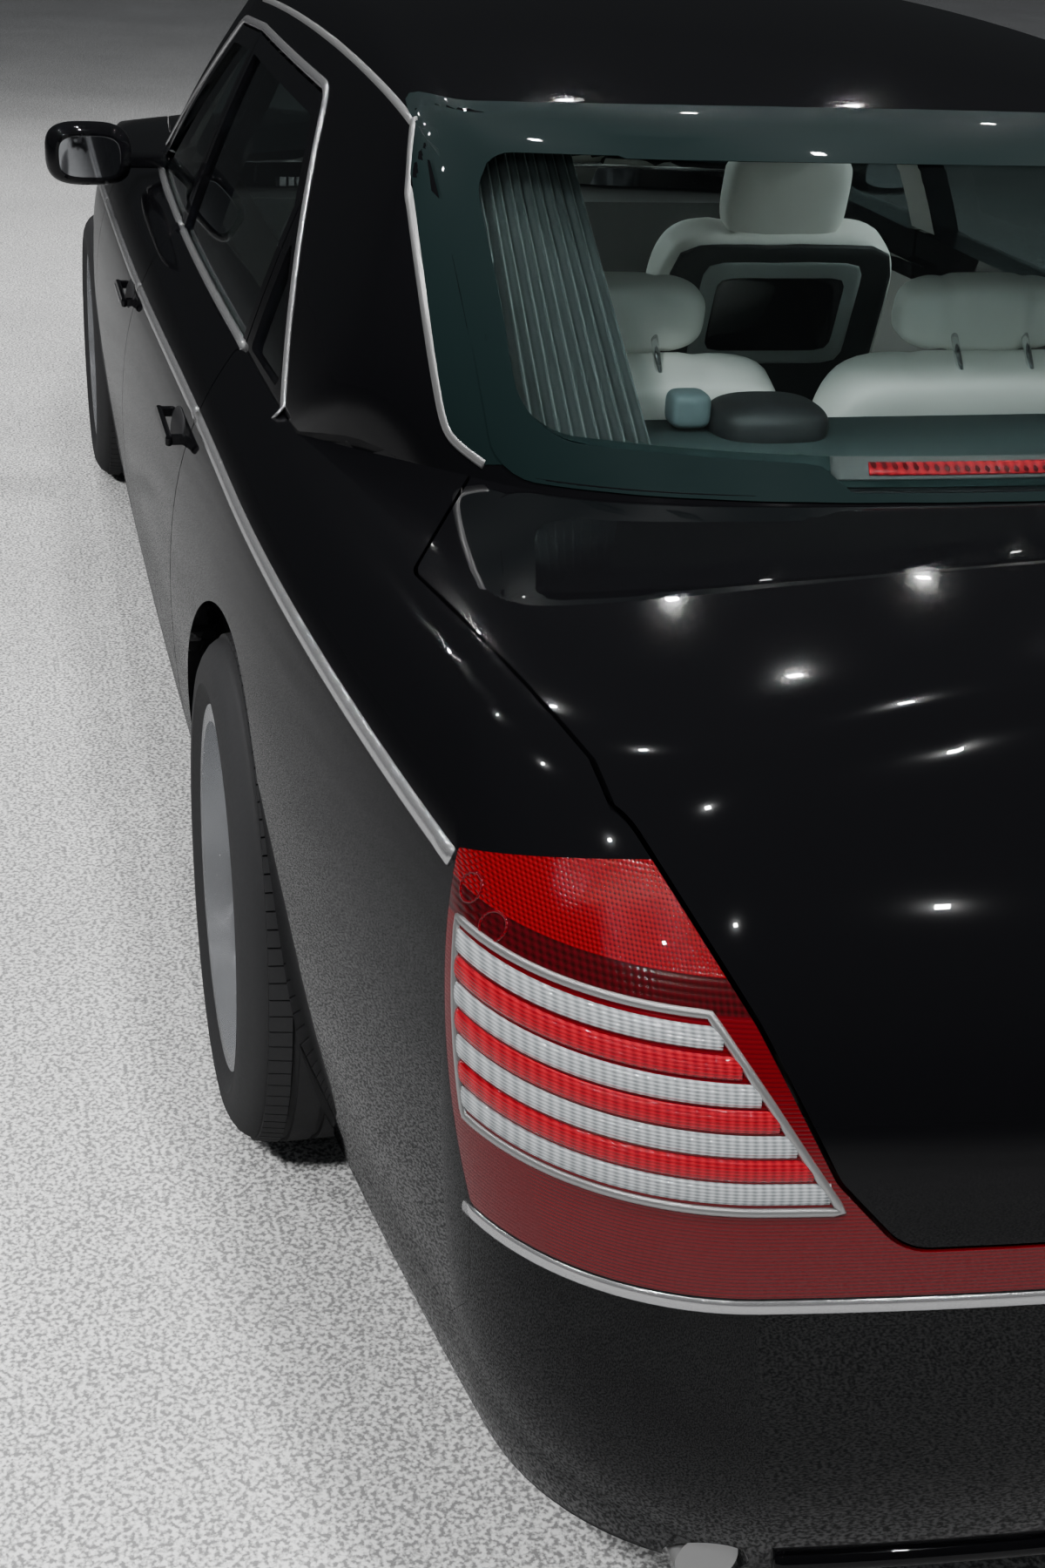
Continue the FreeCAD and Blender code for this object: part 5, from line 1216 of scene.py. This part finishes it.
BENCH_BACK = {"foot": BENCH_FOOT, "width": 0.560, "low": 0.470, "high": BENCH_TOP, "thickness": 0.130,
              "lean": 22, "sewn": (-0.14, 0.14), "power": 7.0}
BENCH_HEAD = {"foot": BENCH_FOOT - 0.135, "width": 0.300, "low": 1.066, "high": 1.180, "thickness": 0.100,
              "lean": 12, "sewn": (-0.075, 0.075), "power": 3.4}
CENTRE_CUSHION = {"tail": BENCH_TAIL, "nose": BENCH_NOSE - 0.040, "width": 0.070, "low": 0.350, "high": 0.500}
CENTRE_BACK = {"foot": BENCH_FOOT, "width": 0.110, "low": 0.480, "high": BENCH_TOP - 0.090,
               "thickness": 0.120, "lean": 22}
SEAT_BACKS = (  # name, size, distance behind the middle of a front seat's back, rise, finish
    ("shell", (0.018, 0.500, 0.600), 0.060, 0.0, "dark"),
    ("frame", (0.012, 0.360, 0.250), 0.066, 0.140, "frame"),
    ("display", (0.010, 0.290, 0.180), 0.070, 0.140, "screen"),
)
SHELF_PIECES = (  # name, size, roundness, place, finish
    ("shelf_speaker", (0.150, 0.180, 0.076), 2.8, (REAR + 0.150, 0.130, 1.022), "dark"),
    ("belt_outlet", (0.060, 0.062, 0.054), 4.0, (REAR + 0.165, 0.250, 1.040), "belt"),
)
POSTS = (-0.062, 0.062)  # the two posts of a rear head restraint, across from its middle
POST_FOOT = (REAR + 0.302, 1.056)  # where they start: place along the car, height


def leaning_place(foot, low, high, thickness, lean):
    """Middle and length of an upholstered back from its rear foot."""
    turn = math.radians(lean)
    length = (high - low) / math.cos(turn)
    half = length / 2
    return (foot + thickness / 2 * math.cos(turn) - half * math.sin(turn),
            low + thickness / 2 * math.sin(turn) + half * math.cos(turn), length)


def back_pad(y, foot, width, low, high, thickness, lean, sewn=(), power=6.0):
    """Leaning pad with upright sewn channels."""
    x, z, length = leaning_place(foot, low, high, thickness, lean)
    return placed(channels(soft_box((thickness, width, length), power, 22), sewn, 1, 0.006), x, y, z, lean)


def flat_pad(y, tail, nose, width, low, high, sewn=(), power=6.0):
    """Seat cushion with sewn channels."""
    bm = channels(soft_box((nose - tail, width, high - low), power, 22), sewn, 1, 0.006)
    return placed(bm, (tail + nose) / 2, y, (low + high) / 2)


def upholstered(name, pads, replaces=()):
    """Padded piece of white leather from its pads."""
    piece = finished(merged(pads), name, "root", "leather", replaces)


class SEDAN_OT_cabin(bpy.types.Operator):
    """Seats, curtains and the shelf's fittings"""

    bl_idname = "sedan.cabin"
    bl_label = "Cabin"

    def execute(self, context):
        for side, k in SIDES.items():
            self.front_seat(side, k * FRONT_SIDE)
            self.rear_seat(side, k * BENCH_SIDE)
            self.curtain(side, k)
        pads = [back_pad(0, **CENTRE_BACK), flat_pad(0, **CENTRE_CUSHION)]
        upholstered("rear_centre_pads", pads, replaces=["rear_bench"])
        for name, size, power, spot, finish in SHELF_PIECES:
            finished(placed(soft_box(size, power), *spot), name, "root", finish)
        return {"FINISHED"}

    def front_seat(self, side, y):
        """Pads of a front seat, the shell and display on its back, and its base."""
        pads = [flat_pad(y, **FRONT_CUSHION), back_pad(y, **FRONT_BACK), back_pad(y, **FRONT_HEAD)]
        upholstered(f"{side}_front_seat_pads", pads, replaces=["front_seats"])
        lean = FRONT_BACK["lean"]
        x, z = leaning_place(*(FRONT_BACK[key] for key in ("foot", "low", "high", "thickness")), lean)[:2]
        for name, size, behind, rise, finish in SEAT_BACKS:
            bm = soft_box(size, 10, 8)
            bmesh.ops.translate(bm, vec=(-behind, 0, rise), verts=bm.verts)
            finished(placed(bm, x, y, z, lean), f"{side}_seat_{name}", "root", finish)
        base = soft_box((0.420, 0.420, 0.180), 10, 6)
        finished(placed(base, FRONT_NOSE - 0.320, y, 0.275), f"{side}_seat_base", "root", "dark")

    def rear_seat(self, side, y):
        """Pads of one side of the bench, with its head restraint on two posts."""
        pads = [flat_pad(y, **BENCH_CUSHION), back_pad(y, **BENCH_BACK)]
        upholstered(f"{side}_rear_seat_pads", pads, replaces=["rear_bench"])
        upholstered(f"{side}_rear_head_restraint", [back_pad(y, **BENCH_HEAD)])
        posts = []
        x, z = POST_FOOT
        for step in POSTS:
            posts.append(rod((x, y + step, z), (x + 0.045, y + step, z + 0.054), 0.006))
            ring = spun([(0.0075, -0.002), (0.016, -0.002), (0.014, 0.003), (0.0075, 0.004)], 24)
            bmesh.ops.rotate(ring, verts=ring.verts, matrix=Matrix.Rotation(math.radians(90), 3, "X"))
            posts.append(placed(ring, x, y + step, z, BENCH_BACK["lean"]))
        finished(merged(posts), f"{side}_restraint_posts", "root", "chrome")

    def curtain(self, side, k):
        """Pleated curtain beside the rear screen, gathered from the roof to the shelf."""
        look = bpy.context.scene.sedan_cabin
        top, foot = np.array(look.curtain_top), np.array(look.curtain_foot)

        def place(u, v):
            line = foot + (top - foot) * v[:, None]
            fold = look.pleat_depth * np.sin(2 * math.pi * u * look.pleats) * (1 - 0.25 * v)
            sway = 0.25 * look.pleat_depth * np.sin(2 * math.pi * u * look.pleats * 0.5 + 1.3 * v)
            line[:, 0] += fold + sway
            line[:, 1] = k * (line[:, 1] - look.curtain_width * u * (1 - 0.25 * v))
            return line

        steps = look.pleats * 12
        bm = surface(steps, 24, place)
        if k < 0:
            bmesh.ops.reverse_faces(bm, faces=bm.faces)
        shares = np.linspace(0, 1, steps + 1)
        row = place(shares, 0 * shares + 0.5)
        piece = finished(bm, f"{side}_curtain", "root", "curtain")


def pale_floor():
    """Pale short carpet, with painted shade where only gloss paint mirrors it: glossy rays see it darker."""
    made = material("Pale floor", (0.62, 0.62, 0.61), Roughness=0.9)
    tree = Tree(made.node_tree)
    place = tree.add("ShaderNodeTexCoord").outputs["Object"]
    specks = tree.add("ShaderNodeTexNoise", {0: place, 2: 150.0, 3: 2.0}).outputs[0]
    wide = tree.add("ShaderNodeTexNoise", {0: place, 2: 1.2, 3: 2.0}).outputs[0]
    share = tree.math("MULTIPLY", tree.spread(specks, 0.40, 0.60), tree.spread(wide, 0.2, 0.8, 0.7, 1.0))
    seen = tree.mix(share, (0.20, 0.20, 0.20, 1), (0.84, 0.84, 0.83, 1))
    # Painted shade: the darker colour that glossy rays see stands for a shaded floor in the paint's
    # reflections
    reflected_shade_look = tree.mix(share, (0.05, 0.05, 0.05, 1), (0.24, 0.24, 0.24, 1))
    path = tree.add("ShaderNodeLightPath")
    tree.join(tree.mix(path.outputs["Is Glossy Ray"], seen, reflected_shade_look), "Base Color")
    return made


NODE_LOOKS = {
    "floor_pan": "under", "wheel_arch_liners": "dark", "front_axle": "metal", "rear_axle": "metal",
    "engine": "metal", "exhaust": "satin", "grille": "chrome", "headlamps": "clear", "dashboard": "dash",
    "steering_wheel": "dash", "parcel_shelf": "shelf",
    **{f"{side}_knuckle": "metal" for side in SIDES},
    **{f"{side}_{end}_rim": "rim" for side in SIDES for end in WHEELS},
}


class SEDAN_OT_nodes(bpy.types.Operator):
    """Materials of the CAD pieces whose shape stays"""

    bl_idname = "sedan.nodes"
    bl_label = "Plain pieces"

    def execute(self, context):
        for node, look in NODE_LOOKS.items():
            for slot in NODES[node].material_slots:
                slot.material = finish_of(look)
        return {"FINISHED"}


CAMERA_TURN = (-0.265, 0.436, 0.055)  # yaw, pitch downwards and roll in radians
SPARK_HEIGHT = 5.2  # small lamps of a ceiling, the only ones that gloss mirrors
SPARK_PITCH, SPARK_COUNT = (2.6, 2.0), (5, 4)  # along the car and across it
LIGHTS = (  # name, place, aim, size, power
    ("key", (-6.0, 4.0, 6.0), (-1.5, 0.2, 0.3), (0.7, 0.7), 560),
    ("overhead", (-4.0, 0.0, 7.0), (-1.0, 0.0, 0), (0.7, 0.7), 480),
    ("left_wall", (1.5, 6.5, 4.5), (-0.5, 0.5, 0.6), (2.4, 0.18), 300),
    ("front_wall", (7.5, 2.0, 5.0), (0, 0, 0.8), (1.6, 0.3), 220),
    ("right_wall", (-2.0, -6.5, 4.5), (-1.0, 0, 0.7), (1.6, 0.3), 240),
)


class SEDAN_OT_stage(bpy.types.Operator):
    """Pale floor, soft lights and the camera"""

    bl_idname = "sedan.stage"
    bl_label = "Stage"

    def execute(self, context):
        scene = context.scene
        bm = bmesh.new()
        bmesh.ops.create_grid(bm, x_segments=1, y_segments=1, size=45)
        bmesh.ops.translate(bm, vec=(0, 0, -0.001), verts=bm.verts)
        mesh = bpy.data.meshes.new("floor")
        bm.to_mesh(mesh)
        bm.free()
        mesh.materials.append(pale_floor())
        floor = bpy.data.objects.new("floor", mesh)
        scene.collection.objects.link(floor)
        world = bpy.data.worlds.new("Studio")
        scene.world = world
        world.use_nodes = True
        tree = Tree(world.node_tree)
        path = tree.add("ShaderNodeLightPath")
        place = tree.add("ShaderNodeTexCoord").outputs["Object"]
        up = tree.add("ShaderNodeSeparateXYZ", {0: place}).outputs[2]
        mirrored_sky = tree.mix(tree.spread(up, 0.25, 0.9), (0.07, 0.075, 0.08, 1), (0.16, 0.17, 0.18, 1))
        sky = tree.mix(path.outputs["Is Glossy Ray"], (0.50, 0.52, 0.55, 1), mirrored_sky)
        background = world.node_tree.nodes["Background"]
        world.node_tree.links.new(sky, background.inputs[0])
        background.inputs[1].default_value = 0.22
        sparks = []
        for i, j in np.ndindex(SPARK_COUNT):
            x = SPARK_PITCH[0] * (i - (SPARK_COUNT[0] - 1) / 2)
            y = SPARK_PITCH[1] * (j - (SPARK_COUNT[1] - 1) / 2)
            sparks.append((f"spark_{i}_{j}", (x, y, SPARK_HEIGHT), (x, y, 0), (0.08, 0.08), 24))
        for name, spot, aim, size, power in list(LIGHTS) + sparks:
            data = bpy.data.lights.new(name, "AREA")
            data.shape = "RECTANGLE"
            data.size, data.size_y = size
            data.energy = power
            lamp = bpy.data.objects.new(name, data)
            scene.collection.objects.link(lamp)
            lamp.visible_glossy = name.startswith("spark")
            lamp.location = spot
            lamp.rotation_euler = (Vector(aim) - Vector(spot)).to_track_quat("-Z", "Y").to_euler()
        data = bpy.data.cameras.new("camera")
        data.lens = scene.sedan_stage.lens
        data.sensor_width = 36
        data.clip_start = 0.05
        data.clip_end = 200
        camera = bpy.data.objects.new("camera", data)
        scene.collection.objects.link(camera)
        yaw, pitch, roll = CAMERA_TURN
        ahead = Vector((math.cos(yaw) * math.cos(pitch), math.sin(yaw) * math.cos(pitch), -math.sin(pitch)))
        right = Vector((math.sin(yaw), -math.cos(yaw), 0))
        up = right.cross(ahead)
        tilted = right * math.cos(roll) + up * math.sin(roll)
        upright = up * math.cos(roll) - right * math.sin(roll)
        camera.matrix_world = Matrix.Translation(scene.sedan_stage.camera_place) @ Matrix(
            (tilted, upright, -ahead)).transposed().to_4x4()
        scene.camera = camera
        return {"FINISHED"}


class SedanCabin(bpy.types.PropertyGroup):
    """Curtains of the rear screen."""

    curtain_top: FloatVectorProperty(
        name="Curtain top", description="Upper outer corner of the left curtain", subtype="TRANSLATION",
        unit="LENGTH", size=3, default=(REAR + 0.130, 0.625, 1.415))
    curtain_foot: FloatVectorProperty(
        name="Curtain foot", description="Lower outer corner of the left curtain", subtype="TRANSLATION",
        unit="LENGTH", size=3, default=(REAR - 0.080, 0.600, 1.060))
    curtain_width: FloatProperty(
        name="Curtain width", description="Width that the gathered curtain covers", unit="LENGTH",
        default=0.215)
    pleats: IntProperty(name="Pleats", description="Number of pleats of a curtain", default=12, min=2)
    pleat_depth: FloatProperty(
        name="Pleat depth", description="How far a pleat swings to each side", unit="LENGTH", default=0.012)


class SedanStage(bpy.types.PropertyGroup):
    """Camera."""

    lens: FloatProperty(
        name="Lens", description="Focal length of the camera in millimetres", default=47.4, min=10)
    camera_place: FloatVectorProperty(
        name="Camera place", description="Where the camera stands", subtype="TRANSLATION",
        unit="LENGTH", size=3, default=(-4.229, 1.25, 1.82))


GROUPS = {"sedan_body": SedanBody, "sedan_cabin": SedanCabin, "sedan_stage": SedanStage}
OPERATORS = (
    SEDAN_OT_panels, SEDAN_OT_panes, SEDAN_OT_trim, SEDAN_OT_screen, SEDAN_OT_lamps, SEDAN_OT_wheels,
    SEDAN_OT_fittings, SEDAN_OT_cabin, SEDAN_OT_nodes, SEDAN_OT_stage,
)


class SEDAN_PT_looks(bpy.types.Panel):
    """Settings and steps of the car's looks"""

    bl_idname = "SEDAN_PT_looks"
    bl_label = "Sedan looks"
    bl_space_type = "VIEW_3D"
    bl_region_type = "UI"
    bl_category = "Sedan"

    def draw(self, context):
        for key, group in GROUPS.items():
            for name in group.__annotations__:
                self.layout.prop(getattr(context.scene, key), name)
        for operator in OPERATORS:
            self.layout.operator(operator.bl_idname)


CLASSES = (*GROUPS.values(), *OPERATORS, SEDAN_PT_looks)


def register():
    """Register the classes and the settings."""
    for cls in CLASSES:
        bpy.utils.register_class(cls)
    for key, group in GROUPS.items():
        setattr(bpy.types.Scene, key, PointerProperty(type=group))


def unregister():
    """Take the settings and the classes away."""
    for key in GROUPS:
        delattr(bpy.types.Scene, key)
    for cls in reversed(CLASSES):
        bpy.utils.unregister_class(cls)


def main():
    """Build everything."""
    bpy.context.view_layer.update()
    register()
    for operator in OPERATORS:
        group, name = operator.bl_idname.split(".")
        getattr(getattr(bpy.ops, group), name)()


if __name__ == "__main__":
    main()
